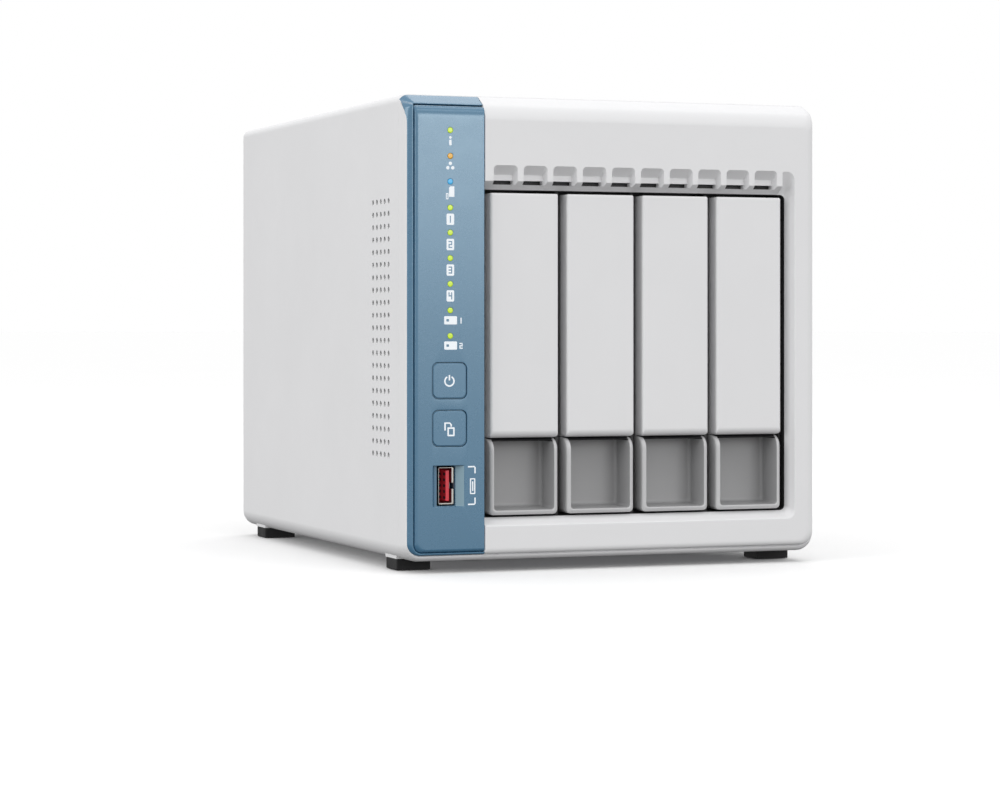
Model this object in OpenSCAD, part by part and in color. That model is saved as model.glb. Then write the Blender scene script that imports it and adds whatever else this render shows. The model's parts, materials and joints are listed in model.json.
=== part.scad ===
// Four-bay desktop storage box: a plastic case on four rubber feet, a front
// with four pull-out drive trays and a control strip, a drive cage, the boards
// and the cooling fan.  Frame: origin at the middle of the footprint on the
// standing plane, +Z up, the front looks along -Y.  Millimetres.

/* [Case] */
// Width over the side walls
case_w = 160; // [158:1:162]
// Height of the top above the standing plane
case_top = 169; // [168:1:171]
// Height of the feet
foot_h = 4; // [3:0.5:5]
// Y of the front face
front_y = -109.5; // [-111:0.5:-109]
// Y of the rear edge of the case
rear_y = 103.5; // [103:0.5:106]
// Y of the seam between the front bezel and the cover
seam_y = -102; // [-102.5:0.5:-101.5]
// Thickness of the case walls
wall = 2.4; // [2:0.1:2.6]
// Radius of the long edges at the bottom
bottom_r = 6; // [6:0.5:8]
// Radius of the long edges at the top
top_r = 3; // [2:0.5:4]

/* [Side air holes] */
// Diameter of one hole
hole_d = 2; // [1.4:0.1:2.4]
// Rows of holes
hole_rows = 21; // [10:1:21]
// Columns of holes
hole_cols = 5; // [2:1:6]

/* [Drive bays] */
// Distance from one bay to the next
bay_pitch = 29.45; // [29.3:0.05:29.5]
// X of the middle of the first bay
bay_x1 = -34.57; // [-34.8:0.05:-34.4]
// Width of a tray front
tray_w = 26; // [25:0.5:26]
// Bottom of a tray
tray_z0 = 19.8; // [19.6:0.1:20]
// Top of a tray
tray_z1 = 134.4; // [134:0.1:134.6]
// Height of the finger pocket's top edge
pocket_top = 47.2; // [46.8:0.2:48.4]

/* [Controls] */
// Side of a square button
button_w = 12.3; // [11:0.1:13]
// Height of the middle of the power button
power_z = 67.8; // [66.5:0.1:69]
// Height of the middle of the copy button
copy_z = 51; // [50.5:0.1:52]
// X of the middle of the control strip
strip_x = -63.6; // [-64:0.1:-63]
// Gap round a button
button_gap = 0.3; // [0.2:0.05:0.5]

/* [Fan] */
// Side of the square fan frame
fan_w = 120; // [118:1:120]
// Diameter of the fan's blades
blade_d = 112; // [100:1:113]
// Number of blades
blade_n = 7; // [5:1:9]

/* [Air scoops] */
// Number of scoops over the bays
scoop_n = 10; // [6:1:10]
// Distance from one scoop to the next
scoop_pitch = 11.35; // [11.3:0.05:11.4]
// Width of a scoop
scoop_w = 9.1; // [8:0.1:9.4]

/* [Hidden] */
$fn = 48;
hw = case_w / 2;
eps = 0.01;
fan_x = 9.5; fan_z = 86; fan_y0 = 76.4; fan_y1 = 101.4;
led_z = [156.1, 147.0, 138.0, 128.8, 120.0, 111.0, 101.9, 92.6, 83.6];
strip_edge = -50.45;         // right edge of the control panel
bay = [for (i = [0:3]) bay_x1 + i * bay_pitch];
foot_x = 71; foot_yf = -85.8; foot_yr = 84.5;
panel_y0 = 101.5; panel_y1 = 103;
lan_z = [88, 108]; usb_z = [46, 66]; dc_z = 24; reset_z = 127; lock_z = 146;
port_x = -62.1;              // component face of the main board
drive_z0 = 26.3; drive_z1 = 127.9; drive_y0 = -93; drive_y1 = 54;
pin_y = [-76.1, 25.5];

// ---------------------------------------------------------------- helpers
module box(a, b) { translate(a) cube([b[0]-a[0], b[1]-a[1], b[2]-a[2]]); }
module xcyl(y, z, x0, x1, d) { translate([x0, y, z]) rotate([0, 90, 0]) cylinder(h = x1-x0, d = d); }
module ycyl(x, z, y0, y1, d) { translate([x, y1, z]) rotate([90, 0, 0]) cylinder(h = y1-y0, d = d); }
module zcyl(x, y, z0, z1, d) { translate([x, y, z0]) cylinder(h = z1-z0, d = d); }
// a flat outline in X and Z, pushed along Y
module yext(y0, y1) { translate([0, y1, 0]) rotate([90, 0, 0]) linear_extrude(y1-y0) children(); }
// a flat outline in Y and Z, pushed along X
module xext(x0, x1) { translate([x0, 0, 0]) rotate([90, 0, 90]) linear_extrude(x1-x0) children(); }
// what a corner of radius r leaves off, towards sx, sy
module nib(x, y, r, sx, sy) {
  if (r > 0.05) difference() {
    translate([sx > 0 ? x-r : x-0.5, sy > 0 ? y-r : y-0.5]) square(r+0.5);
    translate([x-sx*r, y-sy*r]) circle(r);
  }
}
// rectangle with its own radius at each corner
module rr(x0, y0, x1, y1, bl, br, tr, tl) {
  difference() {
    translate([x0, y0]) square([x1-x0, y1-y0]);
    nib(x0, y0, bl, -1, -1); nib(x1, y0, br, 1, -1);
    nib(x1, y1, tr, 1, 1); nib(x0, y1, tl, -1, 1);
  }
}
module rq(x0, y0, x1, y1, r) { rr(x0, y0, x1, y1, r, r, r, r); }
module front_outline(i) {
  rr(-hw+i, foot_h+i, hw-i, case_top-i, bottom_r-i, bottom_r-i, max(top_r-i, 0.8), max(top_r-i, 0.8));
}
module plan_outline() { rr(-hw, front_y, hw, rear_y, 3.5, 3.5, 2.2, 2.2); }
// side view of the front: flat face, soft shoulder, sloping top facet, rounded foot
function side_pts() = concat(
  [[rear_y, foot_h], [rear_y, case_top], [seam_y+1.5, case_top], [seam_y-0.6, case_top-0.5]],
  [[front_y+2.3, case_top-3.4], [front_y+1, case_top-5.3], [front_y+0.3, case_top-6.6], [front_y, case_top-8.6]],
  [for (a = [0:15:90]) [front_y+3.5*(1-cos(a)), foot_h+4-3.5*sin(a)-0.5*a/90]]);
module envelope() {
  intersection() {
    yext(front_y, rear_y) front_outline(0);
    linear_extrude(200) plan_outline();
    xext(-hw-1, hw+1) polygon(side_pts());
  }
}

// ---------------------------------------------------------------- case
module side_holes(s) {
  for (i = [0:hole_cols-1]) for (j = [0:hole_rows-1])
    xcyl(-72.7-4.45*i, 131.7-4.53*j, s > 0 ? hw-wall-1 : -hw-1, s > 0 ? hw+1 : -hw+wall+1, hole_d);
}
module case_cover() color([0.86, 0.86, 0.87]) {
  difference() {
    union() {
      difference() {
        intersection() {
          yext(seam_y, rear_y) front_outline(0);
          linear_extrude(200) plan_outline();
        }
        yext(seam_y-1, rear_y+1) front_outline(wall);
      }
      // low pedestals over the feet
      for (x = [-foot_x, foot_x]) for (y = [foot_yf, foot_yr])
        box([x-6.7, y-6.2, foot_h], [x+6.7, y+6.2, foot_h+wall]);
      // bosses for the rear screws
      for (x = [-70.5, 70.5]) box([x-4.5, 88, case_top-wall-9], [x+4.5, panel_y0-0.1, case_top-wall+0.1]);
      box([66, 88, foot_h+wall-0.1], [75, panel_y0-0.1, foot_h+wall+9]);
      // ledges that hold the top of the cage
      for (x = [-48, 66]) box([x-1, -80, 137.4], [x+1, 40, case_top-wall+0.1]);
    }
    box([-57.8, -200, 0], [57.8, 200, 10]);
    side_holes(-1);
    side_holes(1);
    for (x = [-70.5, 70.5]) ycyl(x, case_top-wall-4.8, 85, 110, 3.2);
    ycyl(70.5, foot_h+wall+4.5, 85, 110, 3.2);
    for (x = [-60.4, 60.4]) for (y = [-70, 70]) zcyl(x, y, 0, 10, 3.4);
  }
}
module base_pan() color([0.62, 0.63, 0.65]) difference() {
  union() {
    box([-57.5, seam_y+0.4, foot_h], [57.5, panel_y0-0.2, foot_h+2.4]);
    box([-63, -92, foot_h+2.4], [63, panel_y0-0.2, foot_h+3.6]);
  }
  for (i = [0:8]) box([-52+i*12.4, -60, 0], [-47.5+i*12.4, -30, 12]);
  for (i = [0:8]) box([-52+i*12.4, 20, 0], [-47.5+i*12.4, 50, 12]);
  for (x = [-60.4, 60.4]) for (y = [-70, 70]) zcyl(x, y, 0, 12, 3.3);
}
module base_screws() color([0.75, 0.75, 0.77])
  for (x = [-60.4, 60.4]) for (y = [-70, 70]) difference() {
    union() {
      zcyl(x, y, foot_h-1.8, foot_h, 5.4);
      zcyl(x, y, foot_h-0.5, foot_h+5, 3.1);
    }
    box([x-1.5, y-0.4, 0], [x+1.5, y+0.4, foot_h-0.9]);
    box([x-0.4, y-1.5, 0], [x+0.4, y+1.5, foot_h-0.9]);
  }
module rubber_feet() color([0.09, 0.09, 0.095])
  for (x = [-foot_x, foot_x]) for (y = [foot_yf, foot_yr]) {
    translate([0, 0, 0]) linear_extrude(foot_h) rq(x-6.4, y-6, x+6.4, y+6, 1.2);
  }
module rear_panel() color([0.8, 0.8, 0.81]) difference() {
  yext(panel_y0, panel_y1) rr(-hw+wall+0.2, foot_h+3.8, hw-wall-0.2, case_top-wall-0.2, 3, 3, 0.6, 0.6);
  // fan mouth
  ycyl(fan_x, fan_z, 95, 110, 113);
  for (x = [-52.5, 52.5]) for (z = [-52.5, 52.5]) ycyl(fan_x+x, fan_z+z, 95, 110, 4.3);
  // sockets
  for (z = lan_z) box([-76.5, 95, z-8.4], [-61.9, 110, z+8.4]);
  for (z = usb_z) box([-70.4, 95, z-7], [-61.8, 110, z+7]);
  ycyl(-69.4, dc_z, 95, 110, 9.4);
  ycyl(-68, reset_z, 95, 110, 2.6);
  // security slot
  yext(95, 110) rq(-71.6, lock_z-1.6, -64.6, lock_z+1.6, 1.5);
  // screws into the cover
  for (x = [-70.5, 70.5]) ycyl(x, case_top-wall-4.8, 95, 110, 3.5);
  ycyl(70.5, foot_h+wall+4.5, 95, 110, 3.5);
  // air slots over and under the fan
  for (i = [0:9]) box([-46+i*11.6, 95, 152.5], [-40+i*11.6, 110, 156]);
  for (i = [0:9]) box([-46+i*11.6, 95, 14], [-40+i*11.6, 110, 17.5]);
}
module thumb_screw(x, z) {
  difference() {
    union() {
      ycyl(x, z, panel_y1, panel_y1+1.2, 8);
      ycyl(x, z, panel_y1+1.2, 109.5, 9);
      ycyl(x, z, 91, panel_y1+0.5, 3.1);
    }
    box([x-3, 108.4, z-0.5], [x+3, 111, z+0.5]);
    box([x-0.5, 108.4, z-3], [x+0.5, 111, z+3]);
  }
}
module rear_thumb_screws() color([0.2, 0.2, 0.21]) {
  for (x = [-70.5, 70.5]) thumb_screw(x, case_top-wall-4.8);
  thumb_screw(70.5, foot_h+wall+4.5);
}

// ---------------------------------------------------------------- front
// the control panel's section, grown by g where the bezel makes room for it
module strip_sec(g) polygon([[-112, 4], [-107.1+g, 4], [-107.1+g, 159.5], [-106.2+g, 162.4-g],
  [-104.4+g, 164.6-g], [seam_y-0.1, 165.6-g], [seam_y-0.1, 171], [-112, 171]]);
module strip_edge_sec(g) polygon([[-112, 4], [-108.3+g, 4], [-108.3+g, 160], [-107.3+g, 163.4-g],
  [-105+g, 166.2-g], [seam_y-0.1, 167.4-g], [seam_y-0.1, 171], [-112, 171]]);
module strip_space(g) {
  intersection() {
    union() {
      xext(-78.4-g, strip_edge+g) strip_sec(g);
      xext(-hw-1, -78.3) strip_edge_sec(g);
    }
    yext(-112, -90) rr(-hw-1, 6.3-g, strip_edge+g, 172, 7, 0.4, 0, 0);
  }
}
module front_bezel() color([0.86, 0.86, 0.87]) difference() {
  union() {
    intersection() {
      envelope();
      box([-hw-1, front_y-1, 0], [hw+1, seam_y-0.15, 200]);
    }
    difference() {
      yext(seam_y-0.2, -96) front_outline(wall+0.25);
      yext(seam_y-1, -95) front_outline(wall+1.85);
    }
  }
  // hollow back
  difference() {
    yext(-106.6, -90) rr(-hw+wall+1.85, foot_h+wall+1.85, hw-wall-1.85, 162, 3, 3, 1, 1);
    yext(-112, seam_y-0.15) rq(-53, 15.2, 73.4, 147, 2);
  }
  strip_space(0.1);
  // window behind the control panel
  box([-74, -112, 16], [-54, -95, 160]);
  // bay mouth with its bevels
  yext(-112, -90) rr(-50.3, 18.3, 69.4, 135.5, 0.5, 2, 2, 0.5);
  translate([0, 0, 17.4]) linear_extrude(143-17.4) polygon([[69.3, -104.5], [71.56, front_y-0.1], [69.3, front_y-0.1]]);
  xext(-50.3, 70.8) polygon([[-104.5, 135.4], [front_y-0.1, 138.56], [front_y-0.1, 135.4]]);
  xext(-50.3, 70.4) polygon([[-104.5, 18.4], [front_y-0.1, 16.56], [front_y-0.1, 18.4]]);
  xext(66.3, 70.6) polygon([[front_y-0.1, 143.6], [-106.6, 138], [front_y-0.1, 138]]);
  // scoops, each with a slot at its back
  for (i = [0:scoop_n-1]) xext(-47.3+i*scoop_pitch, -47.3+i*scoop_pitch+scoop_w)
    polygon([[front_y-0.1, 144.3], [front_y+0.05, 144.3], [-105.6, 140.1], [-105.6, 138.9], [-101, 138.9], [-101, 137.4], [front_y-0.1, 137.4]]);
  // parting groove under the face
  box([-50, front_y-1, 5.9], [72, front_y+1.6, 6.4]);
}
module control_panel() color([0.46, 0.6, 0.7]) difference() {
  intersection() {
    envelope();
    strip_space(0);
    box([-hw-1, front_y+0.1, 0], [0, 0, 200]);
  }
  // crease inside the outer band
  box([-77, -112, 12], [-76.5, front_y+0.6, 163.6]);
  box([-77, -112, 163.8], [-48, front_y+0.95, 165.2]);
  // buttons
  for (z = [power_z, copy_z]) yext(-112, -104)
    rq(strip_x-button_w/2-button_gap, z-button_w/2-button_gap, strip_x+button_w/2+button_gap, z+button_w/2+button_gap, 2.2);
  for (z = led_z) ycyl(strip_x, z, -112, -104, 2.1);
  // window for the front socket, with its slanted right side
  box([-69.5, -112, 23.4], [-60.6, -104, 37.9]);
  translate([0, 0, 23.4]) linear_extrude(14.5) polygon([[-60.7, -107], [-58.3, front_y], [-58.3, front_y-1], [-60.7, front_y-1]]);
}
module button(z) {
  yext(front_y+0.1, front_y+3) rq(strip_x-button_w/2, z-button_w/2, strip_x+button_w/2, z+button_w/2, 2);
  yext(front_y+2.9, front_y+4.1) rq(strip_x-button_w/2+1, z-button_w/2+1, strip_x+button_w/2-1, z+button_w/2-1, 1.5);
  ycyl(strip_x, z, front_y+4, -102.6, 4);
}
module power_button() color([0.5, 0.63, 0.73]) button(power_z);
module copy_button() color([0.5, 0.63, 0.73]) button(copy_z);
module led(z) { ycyl(strip_x, z, front_y+0.08, -101.6, 2); ycyl(strip_x, z, -106.4, -105, 3); }
module leds_green() color([0.75, 0.9, 0.15]) for (i = [0, 3, 4, 5, 6, 7, 8]) led(led_z[i]);
module led_amber() color([0.9, 0.7, 0.15]) led(led_z[1]);
module led_cyan() color([0.2, 0.75, 0.9]) led(led_z[2]);
module front_usb_shell() color([0.75, 0.75, 0.77]) {
  difference() {
    box([-67.6, -107.5, 24.2], [-61.7, -93, 37.2]);
    box([-67.2, -108, 24.6], [-62.1, -94, 36.8]);
  }
}
module front_usb_tongue() color([0.8, 0.16, 0.2]) {
  box([-64.4, -107.1, 25.2], [-62.7, -95, 36.2]);
  box([-67.1, -96, 24.7], [-62.2, -94.1, 36.7]);
}
module front_io_board() color([0.1, 0.35, 0.2]) {
  difference() {
    box([-75, -99.2, 16], [-54, -97.6, 160]);
    box([-68.4, -100, 23.2], [-60.9, -97, 38.2]);
    for (x = [-73, -56]) for (z = [19, 157]) ycyl(x, z, -100, -97, 3);
  }
  for (z = [power_z, copy_z]) { box([strip_x-3, -100.9, z-3], [strip_x+3, -99.1, z+3]); ycyl(strip_x, z, -101.4, -100.8, 3); }
  for (z = led_z) box([strip_x-1.2, -100.6, z-0.8], [strip_x+1.2, -99.1, z+0.8]);
  box([-62, -97.7, 84], [-57.5, -91, 110]);
  // brackets that carry the front socket
  for (z = [22.7, 37.5]) box([-68.2, -98.6, z], [-61.1, -93, z+1.3]);
}

// ---------------------------------------------------------------- electronics
module main_board() color([0.08, 0.32, 0.2]) {
  difference() {
    box([-62.1, -90, 14], [-60.5, 98.5, 150]);
    for (y = [-84, 4, 92]) for (z = [18, 146]) xcyl(y, z, -63, -60, 3.4);
  }
  // standoffs to the cage wall
  for (y = [-84, 4]) for (z = [18, 130]) difference() {
    xcyl(y, z, -60.5, -50.5, 6);
    xcyl(y, z, -60.6, -50.4, 2.6);
  }
  // edge socket for the backplane
  difference() {
    box([-60.5, 54, 40], [-53, 64, 112]);
    box([-59, 57.9, 39], [-52, 60.7, 113]);
  }
  // processor, memory socket, coils and capacitors
  box([-64.2, -12, 92], [-62.1, 12, 116]);
  box([-66.6, -70, 30.2], [-62.1, -2, 34.6]);
  for (i = [0:3]) box([-66, 22, 60+i*11], [-62.1, 29, 67+i*11]);
  for (i = [0:5]) xcyl(34+7*(i % 3), 132+8*floor(i/3), -70, -62.1, 6);
  box([-66, 44, 96], [-62.1, 60, 112]);
  // switch behind the reset pin
  box([-70.5, 89.6, reset_z-2.5], [-62.1, 93.4, reset_z+2.5]);
}
module cpu_heatsink() color([0.7, 0.72, 0.74]) {
  box([-66.4, -20, 84], [-64.2, 20, 124]);
  for (i = [0:9]) box([-75, -20, 84+i*4.25], [-66.4, 20, 85.4+i*4.25]);
}
module ram_module() color([0.1, 0.4, 0.24]) {
  box([-65.2, -69.8, 34.7], [-64, -2.2, 64]);
  for (i = [0:3]) for (s = [-1]) box([-66.3, -65+i*16, 42], [-65.2, -54+i*16, 56]);
}
module m2_card(z) {
  difference() {
    box([-57.4, -60, z], [-56.6, 20, z+22]);
    xcyl(-60, z+11, -58, -56, 3);
  }
  box([-56.6, -50, z+4], [-55.2, -36, z+18]);
  box([-56.6, -28, z+4], [-55.2, -14, z+18]);
  box([-56.6, -6, z+6], [-55.4, 4, z+16]);
  box([-60.5, 16.5, z], [-57.4, 23, z+22]);
}
module m2_ssd_1() color([0.12, 0.13, 0.3]) m2_card(96);
module m2_ssd_2() color([0.12, 0.13, 0.3]) m2_card(62);
module lan_jack(z) {
  difference() {
    box([-76, 83, z-8], [port_x, 103.6, z+8]);
    box([-74.5, 90, z-5.9], [-66.3, 110, z+5.9]);
    box([-66.4, 93, z-3], [-64.6, 110, z+3]);
  }
  for (i = [0:7]) box([-74.6, 90, z-3.8+i*1.0], [-73.8, 98, z-3.3+i*1.0]);
}
module lan_jack_1() color([0.76, 0.77, 0.78]) lan_jack(lan_z[0]);
module lan_jack_2() color([0.76, 0.77, 0.78]) lan_jack(lan_z[1]);
module rear_usb_shells() color([0.76, 0.77, 0.78]) for (z = usb_z) difference() {
  box([-70, 88, z-6.55], [-62.2, 104, z+6.55]);
  box([-69.6, 90, z-6.15], [-64.2, 110, z+6.15]);
}
module rear_usb_tongues() color([0.12, 0.3, 0.7]) for (z = usb_z) {
  box([-66.7, 91, z-5.6], [-64.8, 103.4, z+5.6]);
  box([-69.5, 90.1, z-6], [-64.3, 91.5, z+6]);
}
module dc_inlet() color([0.12, 0.12, 0.13]) {
  difference() {
    union() {
      ycyl(-69.4, dc_z, 90, 103.8, 9);
      box([-74, 88, dc_z-5], [port_x, 101.2, dc_z+5]);
    }
    ycyl(-69.4, dc_z, 92, 110, 6.3);
  }
  ycyl(-69.4, dc_z, 91, 102.6, 2.1);
}
// slim pusher behind a pin-hole in the rear panel
module reset_button() color([0.15, 0.15, 0.16]) {
  ycyl(-68, reset_z, 95.6, 102.4, 2.3);
  ycyl(-68, reset_z, 94.6, 95.8, 4);
}

// ---------------------------------------------------------------- drive cage
module drive_cage() color([0.2, 0.2, 0.21]) {
  for (x = concat([-50.4, 68.6], [for (i = [1:3]) bay_x1 + (i-0.5)*bay_pitch - 0.5]))
    box([x, -101.2, 17.2], [x+1, 54, 137]);
  box([-50.4, -101.2, 17.2], [69.6, 54, 18.4]);
  box([-50.4, -101.2, 135.8], [69.6, 54, 137]);
  for (x = [-45, 55.5]) box([x, -90, foot_h+3.6], [x+1.2, 50, 17.3]);
}
module bay_guides() color([0.16, 0.16, 0.17]) for (c = bay) {
  box([c-13.6, -92.6, 18.4], [c+13.6, 50, 19.4]);
  for (s = [c-13.6, c+11.4]) box([s, -92.6, 18.4], [s+2.2, 50, 21.6]);
  box([c-13.6, -92.6, 134.8], [c+13.6, 50, 135.8]);
  for (s = [c-13.6, c+11.4]) box([s, -92.6, 132.6], [s+2.2, 50, 135.8]);
}
module backplane_board() color([0.1, 0.36, 0.22]) difference() {
  box([-58.6, 58.5, 18], [68, 60.1, 136]);
  // board is narrow where it plugs into the main board's socket
  box([-60, 58, 10], [-51.5, 61, 41]);
  box([-60, 58, 111], [-51.5, 61, 140]);
  for (i = [0:3]) for (z = [88, 104]) ycyl(bay[i]+4, z, 58, 61, 9);
}
module sata_sockets() color([0.1, 0.1, 0.11]) for (c = bay) {
  difference() {
    box([c-12.2, 51, 32], [c-6, 58.5, 76]);
    box([c-10.3, 50, 34], [c-7.9, 56, 56]);
    box([c-10.3, 50, 58], [c-7.9, 56, 74]);
  }
}

// ---------------------------------------------------------------- fan
module fan_frame() color([0.11, 0.11, 0.12]) difference() {
  union() {
    difference() {
      yext(fan_y0, fan_y1) rq(fan_x-fan_w/2, fan_z-fan_w/2, fan_x+fan_w/2, fan_z+fan_w/2, 5);
      ycyl(fan_x, fan_z, fan_y0-1, fan_y1+1, 116);
    }
    ycyl(fan_x, fan_z, fan_y1-3.5, fan_y1, 42);
    ycyl(fan_x, fan_z, fan_y1-16, fan_y1-1, 10);
    for (a = [0, 90, 180, 270]) translate([fan_x, 0, fan_z]) rotate([0, a+20, 0]) box([18, fan_y1-3.5, -2.4], [58.6, fan_y1, 2.4]);
  }
  ycyl(fan_x, fan_z, fan_y0, fan_y1-1.5, 4.1);
  for (x = [-52.5, 52.5]) for (z = [-52.5, 52.5]) ycyl(fan_x+x, fan_z+z, fan_y0-1, fan_y1+1, 4.4);
  // waist between the two flanges
  for (a = [0, 90, 180, 270]) translate([fan_x, 0, fan_z]) rotate([0, a, 0])
    box([-70, fan_y0+4, 59.2], [70, fan_y1-4, 62]);
}
module fan_rotor() color([0.14, 0.14, 0.15]) difference() {
  union() {
    ycyl(fan_x, fan_z, fan_y0+1, fan_y0+20, 40);
    intersection() {
      difference() {
        ycyl(fan_x, fan_z, fan_y0+1.2, fan_y0+20.8, blade_d);
        ycyl(fan_x, fan_z, fan_y0, fan_y0+30, 38.5);
      }
      union() for (i = [0:blade_n-1]) translate([fan_x, fan_y0+11, fan_z]) rotate([0, i*360/blade_n, 0])
        rotate([42, 0, 0]) translate([10, -18, -1]) cube([50, 36, 2]);
    }
  }
  // motor cup
  difference() {
    ycyl(fan_x, fan_z, fan_y0+3, fan_y0+21, 36);
    ycyl(fan_x, fan_z, fan_y0+2.9, fan_y0+21.6, 4);
  }
}
module fan_guard() color([0.7, 0.71, 0.72]) {
  for (r = [14, 24, 34, 44, 54]) translate([fan_x, 105.2, fan_z]) rotate([90, 0, 0])
    rotate_extrude() translate([r, 0]) circle(d = 1.5, $fn = 24);
  for (a = [45:90:315]) translate([fan_x, 0, fan_z]) rotate([0, a, 0]) {
    translate([13, 104.2, 0]) rotate([0, 90, 0]) cylinder(h = 57, d = 1.6, $fn = 24);
    difference() {
      translate([74.25, 103.9, 0]) rotate([90, 0, 0]) translate([0, 0, -0.9]) cylinder(h = 1.8, d = 8.6);
      translate([74.25, 110, 0]) rotate([90, 0, 0]) cylinder(h = 20, d = 4.6);
    }
  }
}
module fan_screws() color([0.75, 0.75, 0.77])
  for (x = [-52.5, 52.5]) for (z = [-52.5, 52.5]) difference() {
    union() {
      ycyl(fan_x+x, fan_z+z, 104.85, 106.8, 7.6);
      ycyl(fan_x+x, fan_z+z, 90, 105, 4.1);
    }
    box([fan_x+x-2.2, 106, fan_z+z-0.4], [fan_x+x+2.2, 107, fan_z+z+0.4]);
    box([fan_x+x-0.4, 106, fan_z+z-2.2], [fan_x+x+0.4, 107, fan_z+z+2.2]);
  }

// ---------------------------------------------------------------- trays and drives
module tray_body(c) color([0.55, 0.56, 0.57]) difference() {
  union() {
    // finger-pocket block
    yext(-107.3, -94.4) rr(c-tray_w/2, tray_z0, c+tray_w/2, pocket_top, 3, 3, 0.5, 0.5);
    // block behind the white front
    box([c-10.8, -105.2, pocket_top+2.4], [c+10.8, -94.4, tray_z1-2.2]);
    box([c-tray_w/2, -100.6, pocket_top-0.5], [c+tray_w/2, -94.4, tray_z1]);
    // rails along the drive
    box([c-11, -94.5, tray_z0], [c+11, 50, drive_z0-0.1]);
    box([c-11, -94.5, drive_z1+0.1], [c+11, 50, tray_z1]);
  }
  // finger pocket with a curved back
  intersection() {
    yext(-112, -95.6) rr(c-tray_w/2+1.5, tray_z0+1.6, c+tray_w/2-1.5, pocket_top-0.8, 1.8, 1.8, 0.3, 0.3);
    xext(c-15, c+15) union() {
      translate([-108, 44]) circle(12.2, $fn = 96);
      translate([-108, 31]) circle(12.2, $fn = 96);
      translate([-120.2, 31]) square([24.4, 13]);
      translate([-120, 15]) square([12, 40]);
      translate([-108, 20]) square([7, 12]);
      translate([-108, 40]) square([7, 12]);
    }
  }
  // the pocket's top front edge rounds back under the white front
  difference() {
    xext(c-14, c+14) translate([-108.1, pocket_top-4.2]) square([5, 4.4]);
    xext(c-15, c+15) translate([-103.1, pocket_top-4.2]) circle(4.2, $fn = 64);
  }
  // hollow of the upper block, open at its back
  box([c-9, -103.4, pocket_top+4.2], [c+9, -94, drive_z1-4]);
  // screw seats through the rails
  for (y = pin_y) {
    zcyl(c, y, tray_z0-1, drive_z0+1, 3.5); zcyl(c, y, tray_z0-1, tray_z0+3.2, 6.6);
    zcyl(c, y, drive_z1-1, tray_z1+1, 3.5); zcyl(c, y, tray_z1-3.2, tray_z1+1, 6.6);
  }
}
module tray_front(c) color([0.87, 0.87, 0.88]) difference() {
  yext(-107.5, -100.8) rr(c-tray_w/2, pocket_top+0.2, c+tray_w/2, tray_z1, 0.8, 0.8, 1.6, 1.6);
  box([c-11, -105.4, pocket_top+2.2], [c+11, -100, tray_z1-2]);
}
module drive_body(c) color([0.6, 0.61, 0.63]) difference() {
  union() {
    box([c-11.6, drive_y0, drive_z0], [c+12, drive_y1, drive_z1]);
    // rim round the board side
    box([c-13.05, drive_y0, drive_z0], [c-11.5, drive_y0+30, drive_z1]);
    for (z = [drive_z0, drive_z1-5]) box([c-13.05, drive_y0, z], [c-11.5, drive_y1, z+5]);
  }
  box([c-13.2, 49.6, 30.8], [c-5, 55, 77.2]);
  // platter chamber, closed by the lid
  xcyl(-42, (drive_z0+drive_z1)/2, c-2, c+13, 97);
  for (y = pin_y) { zcyl(c, y, drive_z0-1, drive_z0+5, 3.3); zcyl(c, y, drive_z1-5, drive_z1+1, 3.3); }
}
module drive_lid(c) color([0.78, 0.79, 0.8]) difference() {
  xext(c+12.02, c+13.05) rq(drive_y0+2, drive_z0+2, drive_y1-2, drive_z1-2, 4);
  for (y = [drive_y0+5.5, -20, drive_y1-5.5]) for (z = [drive_z0+5.5, drive_z1-5.5]) xcyl(y, z, c+12.5, c+14, 3.6);
}
module drive_board(c) color([0.08, 0.35, 0.22]) {
  box([c-12.6, drive_y0+31, drive_z0+5.6], [c-11.62, 49, drive_z1-5.6]);
  box([c-13.05, -30, 60], [c-12.6, -12, 78]);
  box([c-13.05, 0, 86], [c-12.6, 14, 96]);
  box([c-13.05, 5, 50], [c-12.6, 17, 58]);
}
module tray_screws(c) color([0.76, 0.77, 0.78]) for (y = pin_y) {
  difference() {
    union() { zcyl(c, y, tray_z0+1.2, tray_z0+3.2, 6); zcyl(c, y, tray_z0+3, drive_z0+4.5, 3.1); }
    zcyl(c, y, tray_z0, tray_z0+2.2, 2.2);
  }
  difference() {
    union() { zcyl(c, y, tray_z1-3.2, tray_z1-1.2, 6); zcyl(c, y, drive_z1-4.5, tray_z1-3, 3.1); }
    zcyl(c, y, tray_z1-2.2, tray_z1, 2.2);
  }
}
module tray_body_1() tray_body(bay[0]);
module tray_body_2() tray_body(bay[1]);
module tray_body_3() tray_body(bay[2]);
module tray_body_4() tray_body(bay[3]);
module tray_front_1() tray_front(bay[0]);
module tray_front_2() tray_front(bay[1]);
module tray_front_3() tray_front(bay[2]);
module tray_front_4() tray_front(bay[3]);
module drive_body_1() drive_body(bay[0]);
module drive_body_2() drive_body(bay[1]);
module drive_body_3() drive_body(bay[2]);
module drive_body_4() drive_body(bay[3]);
module drive_lid_1() drive_lid(bay[0]);
module drive_lid_2() drive_lid(bay[1]);
module drive_lid_3() drive_lid(bay[2]);
module drive_lid_4() drive_lid(bay[3]);
module drive_board_1() drive_board(bay[0]);
module drive_board_2() drive_board(bay[1]);
module drive_board_3() drive_board(bay[2]);
module drive_board_4() drive_board(bay[3]);
module tray_screws_1() tray_screws(bay[0]);
module tray_screws_2() tray_screws(bay[1]);
module tray_screws_3() tray_screws(bay[2]);
module tray_screws_4() tray_screws(bay[3]);

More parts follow.
